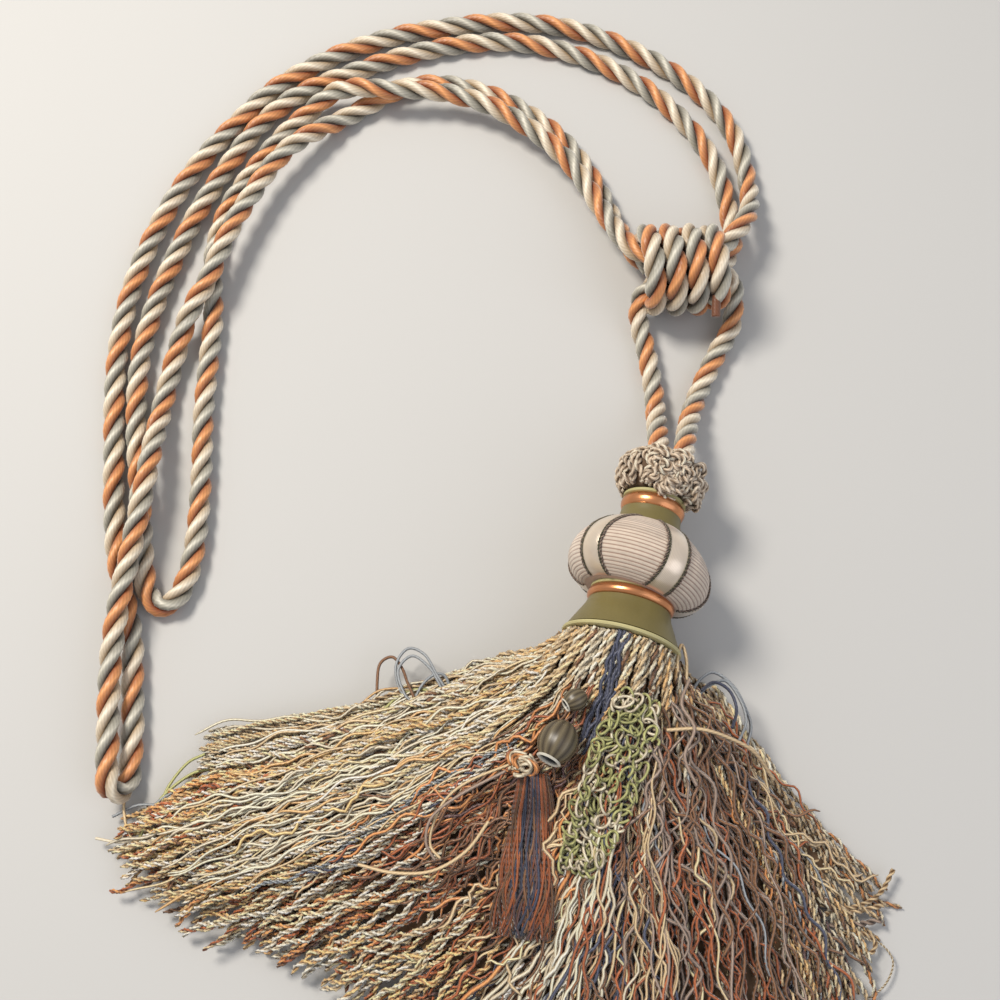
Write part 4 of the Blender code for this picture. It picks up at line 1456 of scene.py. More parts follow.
class SkirtFan:
    """The skirt: a dark bed of painted shade, twisted cords over it and loose yarns over those."""

    TUFTS = 38  # strands that leave the collar together are mostly of one dye
    TUFT_SHARE = 0.6
    RINGS_PER_TURN = 5.4
    # Lightens a skirt cord's painted shade: how far it is taken towards its painted highlight.
    GROOVE_SHADE_LIFT = 0.34  # how far a skirt cord's groove colour is taken towards its crest
    FLOOR_GAP = 0.55  # the lowest that a strand's centreline lies, in diameters
    EDGE_CORDS = 9
    EDGE_PITCH = 3.3  # in diameters
    EDGES = ((0.012, (-0.5, 0.85, 0.0)), (0.988, (0.85, 0.5, 0.0)))  # place across, way out
    EDGE_DYES = (Dye.TAN, Dye.IVORY, Dye.BROWN, Dye.GOLD)
    BED_REACH = 0.80
    BED_DEPTH = 0.0042

    def __init__(self, shape: SkirtShape) -> None:
        """Keeps the fan's shape and makes the finishes."""
        self.shape = shape
        self.cord_look = YarnFinish("skirt_cord_yarn", roughness=0.45, sheen=0.35, specular=0.45,
                                    filaments_round=4.0, filaments_along=600.0, depth=0.26).material()
        self.loose_look = YarnFinish("skirt_loose_yarn", roughness=0.4, sheen=0.35, specular=0.5,
                                     filaments_round=3.0, filaments_along=500.0, depth=0.2).material()
        # A dark brown sheet of painted shade, which shows between the strands.
        self.shade_bed_look = LacquerFinish("skirt_shade_bed", linear(100, 74, 48), roughness=0.95,
                                      cloud_scale=400.0, cloud_depth=0.6, coat=0.0).material()
        self.rng = np.random.default_rng(29)

    def build(self) -> None:
        """Builds the bed and every family of strands."""
        self._build_shade_bed()
        for name, look, families in self._families():
            mesh = YarnMesh()
            for family in families:
                self._lay(mesh, family)
            if name == "skirt_root_cords":
                self._lay_edges(mesh)
            settle(mesh.build(name, look), "skirt_yarn")

    def _build_shade_bed(self) -> None:
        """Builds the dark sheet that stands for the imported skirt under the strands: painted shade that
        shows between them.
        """
        (left, _), (right, _) = self.EDGES
        across, along = np.linspace(left, right, 67), np.linspace(0, self.BED_REACH, 31)
        upper = self.shape.top(across[:, None], along[None])
        upper[..., 2] = np.maximum(upper[..., 2] - self.BED_DEPTH, 0.0012)
        lower = upper.copy()
        lower[..., 2] = np.minimum(upper[..., 2] - 0.0008, 0.0006 + 0.9 * (1 - smoothstep(0, 0.2, along))
                                   * upper[..., 2])
        rings = np.concatenate([upper, lower[:, ::-1]], axis=1)
        bed = grid_mesh("skirt_shade_bed", rings[:, ::-1], self.shade_bed_look, sharp=60)
        settle(bed, "skirt_yarn", "skirt")

    def _families(self) -> list[tuple[str, Material, list[Lay]]]:
        """Every piece of the skirt: its name, its material and the families in it."""
        tan = ((Dye.TAN, 5), (Dye.GOLD, 2), (Dye.IVORY, 4), (Dye.BROWN, 0.6))
        cream = ((Dye.IVORY, 6), (Dye.GOLD, 3), (Dye.TAN, 3))
        rusty = ((Dye.RUST, 3), (Dye.ORANGE, 3), (Dye.BROWN, 2), (Dye.TAN, 3), (Dye.PLUM, 1))
        night = ((Dye.RUST, 3), (Dye.NAVY, 1.5), (Dye.BROWN, 3), (Dye.ORANGE, 2), (Dye.TAN, 3))
        mixed = ((Dye.BROWN, 4), (Dye.NAVY, 1), (Dye.IVORY, 1.5), (Dye.TAUPE, 4), (Dye.RUST, 3),
                 (Dye.ORANGE, 1.5), (Dye.TAN, 3), (Dye.STEEL, 1))
        blue = ((Dye.STEEL, 5), (Dye.NAVY, 0.8), (Dye.IVORY, 3))
        nubs = ((Dye.ORANGE, 3), (Dye.GOLD, 4), (Dye.TAN, 4), (Dye.RUST, 0.8), (Dye.BROWN, 0.3))
        return [
            ("skirt_root_cords", self.cord_look, [
                Lay(44, (0.0, 1.0), (0.0, 0.006), (0.40, 0.72), (0.0027, 0.0031), 2, (0.0002, 0.0022),
                    tan, sway=0.0016, waves=(0.6, 1.6), drift=0.06, sides=5, glow=1.1),
                Lay(9, (0.455, 0.525), (0.0, 0.01), (0.22, 0.34), (0.0013, 0.0018), 1, (-0.0016, -0.0004),
                    ((Dye.NAVY, 3), (Dye.STEEL, 1)), sway=0.0014, drift=0.03),
            ]),
            ("skirt_left_cords", self.cord_look, [
                Lay(26, (0.0, 0.085), (0.02, 0.2), (0.94, 1.0), (0.0017, 0.0022), 2, (-0.0005, 0.0040),
                    tan, sway=0.0018, glow=1.2),
                Lay(33, (0.07, 0.22), (0.04, 0.35), (0.90, 0.99), (0.0022, 0.0028), 2,
                    (-0.0008, 0.0042), tan, sway=0.0028, waves=(1.5, 3.5), drift=0.03, glow=1.2),
                Lay(35, (0.18, 0.36), (0.10, 0.40), (0.92, 1.0), (0.0019, 0.0024), 2,
                    (-0.0008, 0.0042), cream, sway=0.0026, waves=(1.5, 3.5), drift=0.03, glow=1.3),
            ]),
            ("skirt_middle_cords", self.cord_look, [
                Lay(7, (0.325, 0.370), (0.30, 0.40), (0.72, 0.90), (0.0015, 0.0019), 2, (-0.0012, 0.0010),
                    blue, sway=0.0026, drift=0.02, glow=1.15),
                Lay(32, (0.36, 0.52), (0.22, 0.45), (0.90, 1.02), (0.0019, 0.0025), 2, (0.0, 0.0045),
                    rusty, sway=0.0028, waves=(1.0, 3.0), drift=0.04, glow=1.1),
                Lay(44, (0.36, 0.66), (0.56, 0.70), (0.95, 1.03), (0.0022, 0.0027), 2, (-0.001, 0.0036),
                    cream, sway=0.0024, glow=1.25),
            ]),
            ("skirt_right_cords", self.cord_look, [
                Lay(30, (0.62, 0.92), (0.30, 0.50), (0.90, 1.02), (0.0019, 0.0024), 2, (0.001, 0.006),
                    mixed, sway=0.0026),
                Lay(24, (0.88, 1.0), (0.02, 0.30), (0.90, 1.0), (0.0022, 0.0027), 2, (-0.0006, 0.0045),
                    tan, sway=0.0022),
            ]),
            ("skirt_cord_ends", self.cord_look, [
                Lay(96, (0.10, 0.62), (0.74, 0.88), (0.94, 1.01), (0.0021, 0.0027), 2,
                    (-0.0012, 0.0050), nubs, sway=0.0022, waves=(0.5, 1.5), drift=0.03, glow=1.3),
                Lay(48, (0.56, 1.0), (0.62, 0.80), (0.95, 1.03), (0.0021, 0.0027), 2, (-0.001, 0.0050),
                    tan + rusty, sway=0.0022, waves=(0.5, 1.5), drift=0.03),
            ]),
            ("skirt_loose_left", self.loose_look, [
                Lay(46, (0.0, 0.36), (0.1, 0.5), (0.7, 1.02), (0.0008, 0.0012), 1, (-0.0012, 0.0016),
                    cream + tan, sway=0.0030, waves=(1.0, 3.0), step=0.0024, drift=0.05),
                Lay(26, (0.19, 0.33), (0.36, 0.60), (0.76, 0.94), (0.0009, 0.0013), 1,
                    (-0.0014, 0.0006), ((Dye.IVORY, 3), (Dye.GOLD, 1)), sway=0.0026, waves=(1.5, 3.0),
                    step=0.0024, drift=0.03),
            ]),
            ("skirt_loose_right", self.loose_look, [
                Lay(74, (0.34, 0.56), (0.12, 0.5), (0.56, 0.78), (0.0009, 0.0014), 1, (-0.0015, 0.0018),
                    rusty, sway=0.0040, waves=(1.0, 3.5), step=0.0024, drift=0.08),
                Lay(30, (0.575, 0.650), (0.34, 0.44), (0.66, 0.88), (0.0011, 0.0016), 1, (-0.0022, 0.0002),
                    ((Dye.IVORY, 5), (Dye.ORANGE, 1)), sway=0.0016, step=0.0024, drift=0.03, glow=1.1),
                Lay(92, (0.5, 0.72), (0.15, 0.5), (0.60, 0.90), (0.0009, 0.0014), 1, (-0.0016, 0.0018),
                    night, sway=0.0034, waves=(1.0, 3.0), step=0.0024, drift=0.06, glow=1.1),
                Lay(110, (0.64, 0.96), (0.12, 0.5), (0.70, 1.0), (0.0009, 0.0014), 1,
                    (-0.0022, 0.0018), mixed, sway=0.0042, waves=(1.0, 3.0), step=0.0024, drift=0.07),
                Lay(22, (0.70, 0.93), (0.10, 0.35), (0.50, 0.80), (0.0010, 0.0015), 1,
                    (-0.0032, -0.0008), ((Dye.TAUPE, 5), (Dye.BROWN, 4), (Dye.RUST, 2), (Dye.TAN, 1)),
                    sway=0.0070, waves=(0.8, 1.9), step=0.0024, drift=0.10),
            ]),
        ]

    def _lay_edges(self, mesh: YarnMesh) -> None:
        """Lays cords one above another down the fan's two upright edges.

        Args:
            mesh: gathers the yarns.
        """
        rng = self.rng
        for edge, outward in self.EDGES:
            for k in range(self.EDGE_CORDS):
                level = (k + rng.uniform(0.3, 0.7)) / self.EDGE_CORDS
                t = np.linspace(0.02, rng.uniform(0.80, 0.95), 60)
                line = self.shape.top(edge, t)
                diameter = rng.uniform(0.0024, 0.0029)
                sway = np.sin(FULL_TURN * (t * rng.uniform(1.0, 2.5) + rng.uniform()))
                height = line[:, 2] * (level + 0.05 * sway) - 0.001
                line[:, 2] = np.maximum(height, diameter * self.FLOOR_GAP)
                line += np.array(outward) * (0.0009 + 0.0006 * sway[:, None])
                pitch = self.EDGE_PITCH * diameter
                dye = self.EDGE_DYES[rng.integers(len(self.EDGE_DYES))]
                tone = rng.uniform(0.8, 1.1)
                pair = [(dye.lit_crest * tone, dye.shaded_groove * tone), (dye.lit_crest * 0.85, dye.shaded_groove)]
                mesh.cord(evenly(line, pitch / self.RINGS_PER_TURN), diameter, 2, pitch, pair, 4,
                          rng.uniform(0, 6.28))

    def _lay(self, mesh: YarnMesh, family: Lay) -> None:
        """Lays one family of strands side by side over its share of the fan.

        Args:
            mesh: gathers the yarns.
            family: how they lie.
        """
        rng = self.rng
        low, high = family.across
        dyes = [dye for dye, _ in family.dyes]
        weights = np.array([weight for _, weight in family.dyes], float)
        weights /= weights.sum()
        tufts = rng.choice(len(dyes), self.TUFTS + 1, p=weights)
        for k in range(family.count):
            start, end = rng.uniform(*family.start), rng.uniform(*family.end)
            place = low + (high - low) * (k + rng.uniform(0.1, 0.9)) / family.count
            line, diameter, buried = self._strand_line(family, place, start, end)
            # Random tone and the family's glow, with painted shade that darkens a strand the deeper it lies.
            tone = family.glow * rng.uniform(0.88, 1.2) * (1.14 - 0.28 * buried)
            own = rng.uniform() > self.TUFT_SHARE
            dye = dyes[rng.choice(len(dyes), p=weights) if own else tufts[int(place * self.TUFTS)]]
            # The last two rings narrow the strand to its tip.
            near_end = np.clip((len(line) - 1 - np.arange(len(line))) / 2.0, 0, 1)
            width = diameter * (0.45 + 0.55 * np.sqrt(near_end))
            if family.plies == 1:
                mesh.strand(line, width / 2, dye.lit_crest * tone, dye.shaded_groove * tone, family.sides)
                continue
            other = dyes[rng.choice(len(dyes), p=weights)]
            pair = [(one.lit_crest * level, (one.shaded_groove + (one.lit_crest - one.shaded_groove) * self.GROOVE_SHADE_LIFT) * level)
                    for one, level in ((dye, tone), (other, tone * 0.92))]
            mesh.cord(line, width, 2, family.pitch * diameter, pair, family.sides, rng.uniform(0, 6.28))

    def _strand_line(self, family: Lay, place: float, start: float,
                     end: float) -> tuple[np.ndarray, float, float]:
        """Works out one strand's way down the fan.

        Args:
            family: how its family lies.
            place: its place across the fan where it starts.
            start, end: the shares of the fan's length between which it lies.

        Returns:
            Its centreline, its diameter, and how deep it lies among its family, 0 to 1.
        """
        rng = self.rng
        t = np.linspace(start, end, 90)
        share = (t - start) / (end - start)
        across = np.clip(place + rng.uniform(-1, 1) * family.drift * share, 0.0, 1.0)
        line = self.shape.top(across, t)
        run = np.linspace(0, 1, len(line))
        side = unit(np.cross(np.gradient(line, axis=0), [0.0, 0.0, 1.0]))
        waves = rng.uniform(*family.waves)
        sway = family.sway * rng.uniform(0.3, 1.0) * np.sin(FULL_TURN * (waves * run + rng.uniform()))
        sway = sway + 0.3 * family.sway * np.sin(FULL_TURN * (waves * 3.3 * run + rng.uniform()))
        line = line + side * (sway * smoothstep(0.0, 0.25, share))[:, None]
        depth = rng.uniform(*family.depth)
        sunk = depth * smoothstep(0.0, 0.5, t) + 0.0009 * np.sin(
            FULL_TURN * (rng.uniform(1, 2.5) * run + rng.uniform()))
        # A strand that starts away from the collar comes up from under its neighbours.
        dive = 0.006 * smoothstep(0.10, 0.0, share) if start > 0.03 else 0.0
        diameter = rng.uniform(*family.diameter)
        line[:, 2] = np.maximum(line[:, 2] - diameter / 2 - sunk - dive, diameter * self.FLOOR_GAP)
        buried = (depth - family.depth[0]) / (family.depth[1] - family.depth[0])
        step = family.step or family.pitch * diameter / self.RINGS_PER_TURN
        return evenly(line, step), diameter, buried


# ---- Trims on the skirt ----
@dataclass
class Gimp:
    """A lock of looped crochet braid that lies on the skirt."""

    line: Outline = ((0.0500, 0.0335), (0.0440, 0.0175), (0.0375, 0.0020),
                                             (0.0315, -0.0120), (0.0275, -0.0235))
    widths: tuple[float, ...] = (0.015, 0.020, 0.020, 0.018, 0.012)
    rows: int = 28
    columns: int = 4
    yarn: float = 0.00110
    lift: float = 0.0020
    half_length: tuple[float, float] = (0.0024, 0.0044)  # of a loop
    half_width: tuple[float, float] = (0.0013, 0.0023)
    leaf_share: float = 0.72  # the rest of the loops are ivory
    finish: YarnFinish = YarnFinish("gimp_yarn", roughness=0.6, sheen=0.35, specular=0.25,
                                    filaments_round=3.0, filaments_along=700.0, depth=0.22)
    seed: int = 3

    def build(self, shape: SkirtShape) -> None:
        """Lays the loops over the skirt's face.

        Args:
            shape: the skirt that they lie on.
        """
        rng = np.random.default_rng(self.seed)
        mesh = YarnMesh()
        middle = catmull(np.array([(x, y, 0) for x, y in self.line]), 12)
        ways = unit(np.gradient(middle, axis=0))
        for row in range(self.rows):
            share = (row + rng.uniform(-0.3, 0.3)) / (self.rows - 1)
            place = np.clip(share, 0.01, 0.99) * (len(middle) - 1)
            centre = np.array([np.interp(place, np.arange(len(middle)), middle[:, k]) for k in range(3)])
            way = ways[int(place)]
            side = np.array([way[1], -way[0], 0.0])
            width = np.interp(share, np.linspace(0, 1, len(self.widths)), self.widths)
            for column in range(self.columns):
                shift = column - (self.columns - 1) / 2 + rng.uniform(-0.35, 0.35)
                offset = shift / self.columns * width
                self._lay_loop(mesh, shape, rng, centre + side * offset, way, side)
        settle(mesh.build("gimp_loops", self.finish.material()), "gimp_yarn", "gimp_lock")

    def _lay_loop(self, mesh: YarnMesh, shape: SkirtShape, rng: np.random.Generator,
                  centre: np.ndarray, way: np.ndarray, side: np.ndarray) -> None:
        """Lays one long oval loop, a little askew.

        Args:
            mesh: gathers the yarns.
            shape: the skirt beneath.
            rng: the seeded source of chance.
            centre: its middle, in plan.
            way, side: the directions along and across the braid.
        """
        turn = np.linspace(0, FULL_TURN * rng.uniform(0.82, 1.0), 30) + rng.uniform(0, 6.28)
        askew = rng.normal(0.2, 0.7)
        long_half, short_half = rng.uniform(*self.half_length), rng.uniform(*self.half_width)
        forward, sideways = long_half * np.cos(turn), short_half * np.sin(turn)
        along = forward * math.cos(askew) - sideways * math.sin(askew)
        across = forward * math.sin(askew) + sideways * math.cos(askew)
        points = centre + way * along[:, None] + side * across[:, None]
        ground = shape.height_at(points[::6, :2]).mean()
        points[:, 2] = ground + self.lift + rng.uniform(-0.0010, 0.0018) + 0.0008 * np.sin(turn * 2)
        tone = rng.uniform(0.75, 1.12)
        dye = Dye.LEAF if rng.uniform() < self.leaf_share else Dye.IVORY
        mesh.strand(evenly(points, 0.0007), self.yarn / 2, dye.lit_crest * tone, dye.shaded_groove * tone, 5)


# The bead's ridges as shaded and lit (painted shade and painted highlight), its pale rim, and painted shade
# for its hole.
BEAD_SHADED, BEAD_LIT, BEAD_RIM, BEAD_HOLE_SHADE = (
    np.array(linear(*shade)) for shade in ((62, 52, 38), (116, 104, 80), (225, 220, 205), (18, 14, 12)))


@dataclass(frozen=True)
class RidgedBead:
    """A ridged dark bead, with painted highlight on its ridges and painted shade between them, and a pale rim
    round a hole of painted shade at its lower end.
    """

    name: str
    node: str
    at: Point
    turn: float  # degrees that its axis turns from +Y towards +X
    half_length: float
    radius: float
    dip: float = 8.0  # degrees that its upper end points down
    ridges: int = 12
    ridge_height: float = 0.022  # as a share of the radius
    poles: tuple[float, float] = (0.16, math.pi - 0.62)  # where the outline starts and stops
    sides: int = 48

    def build(self, look: Material) -> None:
        """Builds the bead.

        Args:
            look: its material, which shows the colours on its points.
        """
        angle, dip = math.radians(self.turn), math.radians(self.dip)
        way = np.array([math.sin(angle) * math.cos(dip), math.cos(angle) * math.cos(dip), -math.sin(dip)])
        side = np.array([math.cos(angle), -math.sin(angle), 0.0])
        up = np.cross(side, way)
        around = FULL_TURN * np.arange(self.sides) / self.sides
        ridge = np.cos(self.ridges * around)
        # Painted highlight on each ridge and painted shade between ridges.
        body = BEAD_SHADED + (BEAD_LIT - BEAD_SHADED) * (0.5 + 0.5 * ridge)[:, None]
        rows = [(np.cos(polar) * self.half_length, np.sin(polar) * self.radius, body)
                for polar in np.linspace(*self.poles, 30)]
        rows = [(station, radius * (1 + self.ridge_height * ridge), dye) for station, radius, dye in rows]
        low = np.cos(self.poles[1]) * self.half_length
        rim = np.sin(self.poles[1]) * self.radius
        # Each ring of the rim and the hole: its radius against the lower end's, how far it lies in, its
        # colour, which in the hole is painted shade.
        for out, inwards, dye in ((1.10, -0.03, BEAD_RIM), (1.16, -0.08, BEAD_RIM), (1.02, -0.13, BEAD_RIM),
                                  (0.86, -0.10, BEAD_RIM), (0.78, 0.02, BEAD_HOLE_SHADE), (0.60, 0.20, BEAD_HOLE_SHADE)):
            rows.append((low + inwards * self.half_length, rim * out, np.broadcast_to(dye, body.shape)))
        points = np.array([np.array(self.at) + way * station + side * (np.cos(around) * radius)[:, None]
                           + up * (np.sin(around) * radius)[:, None] for station, radius, _ in rows])
        colours = np.array([dye for _, _, dye in rows])
        piece = grid_mesh(self.name, points[:, ::-1], look, colours[:, ::-1], sharp=50)
        settle(piece, "bead_lacquer", self.node)


@dataclass
class MiniTassel:
    """The small tassel on the skirt, with its ridged bead, and the second bead above it."""

    beads: tuple[RidgedBead, ...] = (
        RidgedBead("mini_bead", "mini_tassel_head", (0.0205, 0.0185, 0.0500), 28.0, 0.0082, 0.0070),
        RidgedBead("mini_second_bead", "mini_tassel_bead", (0.0270, 0.0335, 0.0500), 60.0, 0.0046, 0.0040),
    )
    bead_finish: YarnFinish = YarnFinish("ridged_bead", roughness=0.38, sheen=0.05, specular=0.5,
                                         filaments_round=1.0, filaments_along=1.0, depth=0.05)
    finish: YarnFinish = YarnFinish("mini_tassel_yarn", roughness=0.45, sheen=0.3, specular=0.4,
                                    filaments_round=3.0, filaments_along=500.0, depth=0.18)
    skirt_line: Outline = ((0.0120, 0.0080), (0.0118, -0.0060), (0.0108, -0.0200), (0.0090, -0.0340),
                           (0.0068, -0.0470))
    skirt_widths: tuple[float, ...] = (0.010, 0.016, 0.018, 0.019, 0.018)
    strands: int = 150
    middle_dyes: tuple[Dye, ...] = (Dye.NAVY, Dye.BROWN, Dye.TAUPE, Dye.BROWN, Dye.PLUM, Dye.RUST)
    side_dyes: tuple[Dye, ...] = (Dye.RUST, Dye.RUST, Dye.BROWN)
    side_from: float = 0.24  # how far from its middle, in widths, the skirt is of the side dyes
    knot_at: Point = (0.0085, 0.0110, 0.0465)
    knot_loops: int = 26
    seed: int = 8

    def build(self, shape: SkirtShape) -> None:
        """Builds the beads, the knot beside them and the small skirt.

        Args:
            shape: the skirt that they lie on.
        """
        lacquer = self.bead_finish.material()
        for bead in self.beads:
            bead.build(lacquer)
        rng = np.random.default_rng(self.seed)
        mesh = YarnMesh()
        self._lay_skirt(mesh, shape, rng)
        self._lay_knot(mesh, rng)
        settle(mesh.build("mini_tassel_strands", self.finish.material()), "dark_yarn", "mini_tassel_skirt")

    def _lay_skirt(self, mesh: YarnMesh, shape: SkirtShape, rng: np.random.Generator) -> None:
        """Lays the small skirt's smooth yarns over the big one.

        Args:
            mesh: gathers the yarns.
            shape: the big skirt.
            rng: the seeded source of chance.
        """
        middle = catmull(np.array([(x, y, 0) for x, y in self.skirt_line]), 12)
        ways = unit(np.gradient(middle, axis=0))
        sides = np.stack([ways[:, 1], -ways[:, 0], np.zeros(len(ways))], axis=1)
        share = np.linspace(0, 1, len(middle))
        width = np.interp(share, np.linspace(0, 1, len(self.skirt_widths)), self.skirt_widths)
        ground = shape.height_at(middle[:, :2])
        for _ in range(self.strands):
            place = rng.uniform(-0.5, 0.5)
            sway = 0.12 * np.sin(FULL_TURN * (share * rng.uniform(0.8, 2.4) + rng.uniform()))
            line = middle + sides * ((place + sway * share) * width)[:, None]
            crown = math.sqrt(max(0.0, 1 - (2 * place) ** 2))
            layer = rng.uniform(0.1, 1.0)
            line[:, 2] = ground + 0.0008 + layer * crown * (0.0052 - 0.002 * share)
            line[:4, 2] = line[3, 2] + np.linspace(0.0015, 0, 4)
            stop = len(line) - rng.integers(0, 6)
            choices = self.side_dyes if abs(place) > self.side_from else self.middle_dyes
            dye = choices[rng.integers(len(choices))]
            tone = rng.uniform(0.5, 1.0)
            radius = rng.uniform(0.00045, 0.0007)
            mesh.strand(evenly(line[:stop], 0.0024), radius, dye.lit_crest * tone, dye.shaded_groove * tone, 4)

    def _lay_knot(self, mesh: YarnMesh, rng: np.random.Generator) -> None:
        """Ties the pale and orange yarn knot at the bead's lower end.

        Args:
            mesh: gathers the yarns.
            rng: the seeded source of chance.
        """
        for _ in range(self.knot_loops):
            turn = np.linspace(0, FULL_TURN * rng.uniform(0.5, 0.9), 20) + rng.uniform(0, 6.28)
            tilt = rng.uniform(-0.9, 0.9)
            size = rng.uniform(0.0020, 0.0040)
            x, y = size * np.cos(turn) * 1.25, size * np.sin(turn) * 0.7
            loop = np.stack([x * math.cos(tilt) - y * math.sin(tilt), x * math.sin(tilt) + y * math.cos(tilt),
                             0.0012 * np.sin(turn * 2)], axis=1)
            line = np.array(self.knot_at) + rng.normal(0, 0.0010, 3) + loop
            dye = Dye.IVORY if rng.uniform() < 0.6 else Dye.ORANGE
            mesh.strand(evenly(line, 0.0008), 0.0006, dye.lit_crest, dye.shaded_groove, 5)


# Each loose yarn that has slipped out of the skirt: its dye, its diameter and its plies, then the
# points of its route. Lengths are in millimetres.
STRAYS = (
    (Dye.STEEL, 1.2, 1, ((-34.0, 40.0, 14.0), (-39.2, 44.4, 13.0), (-41.0, 54.3, 12.0), (-36.5, 61.2, 11.0),
        (-29.7, 58.4, 12.0), (-24.4, 49.2, 16.0), (-20.0, 42.0, 20.0))),
    (Dye.STEEL, 1.2, 1, ((-32.0, 38.0, 15.0), (-37.0, 42.1, 15.0), (-40.0, 51.9, 13.5), (-34.7, 57.9, 12.5),
        (-27.5, 52.7, 14.0), (-22.6, 44.0, 18.0), (-18.5, 38.0, 21.5))),
    (Dye.STEEL, 1.2, 1, ((-33.0, 40.0, 17.0), (-30.0, 46.0, 16.0), (-25.5, 50.0, 15.0), (-21.5, 49.0, 17.0),
        (-19.0, 43.0, 21.0))),
    (Dye.BROWN, 1.3, 1, ((-45.0, 33.0, 13.0), (-47.6, 38.5, 12.0), (-48.3, 48.4, 11.0), (-47.4, 55.5, 10.0),
        (-42.7, 58.0, 10.0), (-38.6, 53.1, 12.0), (-36.1, 46.8, 15.0), (-33.0, 40.0, 18.0))),
    (Dye.LEAF, 1.3, 1, ((-50.0, 30.0, 14.0), (-44.0, 37.5, 13.5), (-38.0, 43.0, 13.0), (-30.0, 44.0, 15.0),
        (-23.0, 40.0, 19.0))),
    (Dye.STEEL, 1.3, 1, ((72.0, 40.0, 30.0), (77.2, 46.7, 23.0), (83.2, 49.9, 19.0), (90.6, 44.8, 17.0),
        (95.0, 35.9, 16.0), (96.2, 29.0, 17.0), (93.0, 20.0, 20.0))),
    (Dye.STEEL, 1.2, 1, ((74.0, 38.0, 30.0), (79.3, 43.3, 24.0), (87.2, 46.6, 19.0), (92.6, 39.4, 18.0),
        (93.9, 30.9, 20.0), (90.0, 23.0, 24.0))),
    (Dye.NAVY, 1.3, 1, ((76.0, 41.0, 29.0), (82.0, 45.2, 23.5), (88.0, 42.4, 21.5), (90.0, 35.0, 23.0),
        (87.0, 27.0, 28.0))),
    (Dye.TAN, 1.4, 1, ((66.0, 46.0, 38.0), (66.8, 53.0, 36.0), (69.0, 57.5, 33.0), (70.5, 52.0, 32.0),
        (70.0, 44.0, 33.0))),
    (Dye.TAN, 1.2, 1, ((5.0, 12.0, 44.0), (-11.0, 6.0, 41.0), (-19.6, -0.5, 39.0), (-24.0, -9.2, 38.0),
        (-24.7, -16.0, 37.0), (-21.1, -20.4, 37.0))),
    (Dye.TAUPE, 1.2, 1, ((2.0, 9.0, 45.0), (-14.3, 1.0, 42.0), (-24.3, -6.6, 40.0), (-26.2, -15.0, 38.0),
        (-23.0, -21.0, 36.0))),
    (Dye.TAN, 1.4, 1, ((-51.0, -22.0, 29.0), (-38.0, -25.0, 32.0), (-24.0, -24.5, 35.0),
        (-12.0, -18.0, 38.0), (-4.0, -8.0, 41.0))),
    (Dye.TAN, 1.5, 1, ((60.0, 23.5, 45.0), (72.0, 24.0, 44.0), (83.0, 21.5, 40.0), (93.0, 17.0, 35.0),
        (101.0, 8.0, 28.0))),
    (Dye.TAUPE, 1.4, 1, ((70.0, 43.0, 40.0), (66.0, 33.0, 44.0), (70.0, 24.0, 45.0), (66.0, 14.0, 45.0),
        (70.0, 4.0, 43.0))),
    (Dye.TAN, 2.0, 2, ((100.0, -42.0, 10.0), (119.9, -35.3, 6.0), (131.0, -36.3, 5.0), (142.0, -31.7, 5.0),
        (148.8, -22.5, 5.0))),
    (Dye.TAN, 2.2, 2, ((102.0, -45.0, 10.0), (120.0, -38.8, 6.0), (132.4, -37.7, 4.5),
        (143.9, -35.3, 4.0))),
    (Dye.TAUPE, 2.4, 2, ((106.0, -48.0, 10.0), (123.0, -42.5, 6.0), (134.0, -42.0, 4.5),
        (142.5, -40.5, 4.0))),
    (Dye.TAN, 2.2, 2, ((106.0, -38.0, 12.0), (112.4, -26.4, 9.0), (118.6, -20.0, 7.0), (123.5, -16.0, 6.0),
        (126.5, -19.5, 5.5), (122.5, -23.6, 6.0))),
    (Dye.TAN, 2.0, 2, ((122.0, -47.0, 6.0), (131.0, -44.5, 5.0), (139.0, -47.5, 4.0), (137.5, -52.0, 4.0),
        (130.0, -51.0, 4.5))),
    (Dye.IVORY, 1.0, 2, ((134.0, -46.0, 5.0), (137.1, -47.6, 4.0), (142.1, -49.3, 3.5), (145.6, -55.2, 3.0),
        (141.7, -63.1, 3.0), (132.8, -69.0, 3.5), (124.0, -74.0, 5.0))),
    (Dye.IVORY, 1.2, 1, ((-122.0, -12.0, 8.0), (-133.2, -11.1, 7.0), (-144.5, -12.6, 6.0),
        (-154.2, -11.1, 5.0))),
    (Dye.TAN, 1.2, 1, ((-128.0, -18.0, 8.0), (-140.0, -11.0, 7.0), (-144.0, -2.0, 6.0),
        (-144.8, 4.0, 5.0))),
    (Dye.LEAF, 1.3, 1, ((-137.3, -12.0, 7.0), (-130.8, 3.0, 6.0), (-120.1, 12.5, 6.0),
        (-110.6, 15.0, 7.0))),
    (Dye.LEAF, 1.2, 1, ((-130.0, -6.0, 7.0), (-128.9, 6.0, 6.0), (-122.0, 16.5, 6.0), (-114.7, 20.4, 7.0))),
    (Dye.STEEL, 1.2, 1, ((-140.0, -8.0, 6.0), (-133.0, 1.0, 6.0), (-123.4, 6.8, 7.0), (-110.0, 9.0, 9.0))),
    (Dye.STEEL, 1.2, 1, ((-149.0, -3.0, 4.0), (-140.0, 1.0, 5.0), (-131.0, 1.5, 6.0), (-118.0, 4.0, 9.0))),
)


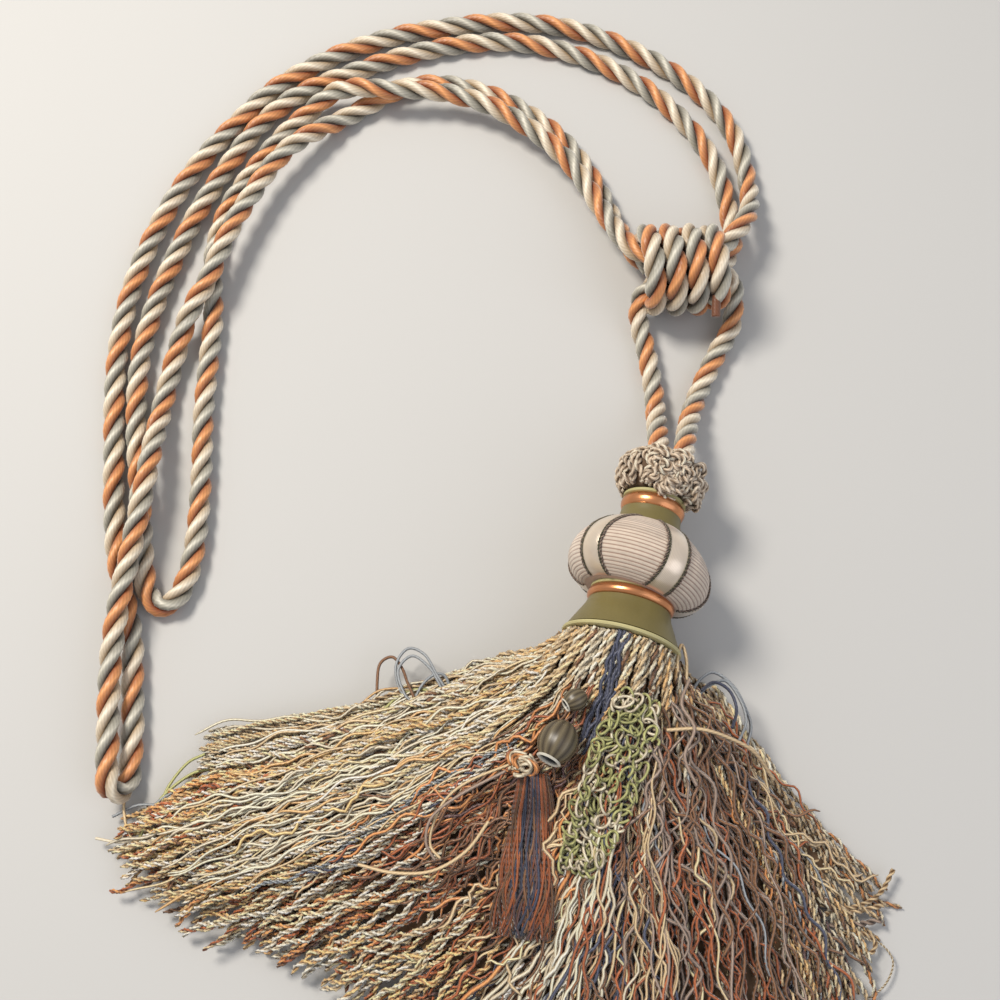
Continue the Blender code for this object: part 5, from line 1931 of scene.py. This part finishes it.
@dataclass
class StrayYarns:
    """The loops, curls and ends that stand off the skirt."""

    finish: YarnFinish = YarnFinish("stray_yarn", roughness=0.5, sheen=0.35, specular=0.35,
                                    filaments_round=3.0, filaments_along=500.0, depth=0.2)

    def build(self) -> None:
        """Lays every stray."""
        mesh = YarnMesh()
        for dye, diameter, plies, route in STRAYS:
            line = evenly(catmull(np.array(route) * MM, 14), 0.0007)
            if plies == 1:
                mesh.strand(line, diameter * MM / 2, dye.lit_crest, dye.shaded_groove, 6)
            else:
                pair = [(dye.lit_crest, dye.shaded_groove), (dye.lit_crest * 0.8, dye.shaded_groove)]
                mesh.cord(line, diameter * MM, 2, diameter * MM * 3, pair, 6)
        settle(mesh.build("skirt_stray_yarns", self.finish.material()), "skirt_yarn")


# ---- Studio ----
@dataclass
class Studio:
    """Camera, pale floor and soft light."""

    camera_at: Point = (0.0, -0.0464, 0.4792)
    camera_tilt: float = 20.0
    lens: float = 43.2
    aim: Point = (0.0, 0.1, 0.0)  # where the lights point
    floor_reach: float = 4.0
    floor_colour: Colour = linear(190, 189, 186)
    sky_colour: Colour = linear(236, 238, 242)
    sky_strength: float = 0.54

    def place_camera(self) -> None:
        """Places the camera above the piece, leaning towards its top."""
        made = add_object("camera", bpy.data.cameras.new("camera"))
        made.location = self.camera_at
        made.rotation_euler = (math.radians(self.camera_tilt), 0.0, 0.0)
        made.data.lens = self.lens
        made.data.clip_start = 0.01
        bpy.context.scene.camera = made

    def build(self) -> None:
        """Builds the floor, the lights and the sky."""
        bpy.context.scene.view_settings.view_transform = "Standard"
        self._build_floor()
        self._add_light("key_light", (-0.60, 0.55, 1.05), 0.36, 17.0, linear(255, 248, 238))
        self._add_light("fill_light", (0.95, -0.45, 0.95), 1.2, 5.5, linear(236, 240, 255))
        world = bpy.data.worlds.new("studio_world")
        world.use_nodes = True
        set_inputs(world.node_tree.nodes["Background"],
                   {"Color": (*self.sky_colour, 1.0), "Strength": self.sky_strength})
        bpy.context.scene.world = world

    def _build_floor(self) -> None:
        """Lays the plain floor."""
        mesh = bpy.data.meshes.new("floor")
        reach = self.floor_reach
        mesh.from_pydata([(-reach, -reach, 0), (reach, -reach, 0), (reach, reach, 0), (-reach, reach, 0)],
                         [], [(0, 1, 2, 3)])
        look, shader = new_material("pale_floor")
        set_inputs(shader, {"Base Color": (*self.floor_colour, 1.0), "Roughness": 0.9})
        mesh.materials.append(look)
        add_object("floor", mesh)

    def _add_light(self, name: str, at: Point, size: float, power: float, colour: Colour) -> None:
        """Hangs one square soft light that faces the piece.

        Args:
            name: the light's name.
            at: where it hangs.
            size: the length of its side.
            power: its power, in watts.
            colour: its colour.
        """
        lamp = bpy.data.lights.new(name, "AREA")
        lamp.size = size
        lamp.energy = power
        lamp.color = colour
        made = add_object(name, lamp)
        made.location = at
        made.rotation_euler = (Vector(self.aim) - Vector(at)).to_track_quat("-Z", "Y").to_euler()


def main() -> None:
    """Makes the camera, then the ropes, then the rest of the tieback and the studio."""
    logging.basicConfig(level=logging.INFO, format="%(name)s %(message)s")
    studio = Studio()
    studio.place_camera()
    Tieback().build()
    Ruff().build()
    TurnedFittings().build()
    Bulb().build()
    shape = SkirtShape()
    SkirtFan(shape).build()
    Gimp().build(shape)
    MiniTassel().build(shape)
    StrayYarns().build()
    studio.build()


if __name__ == "__main__":
    main()
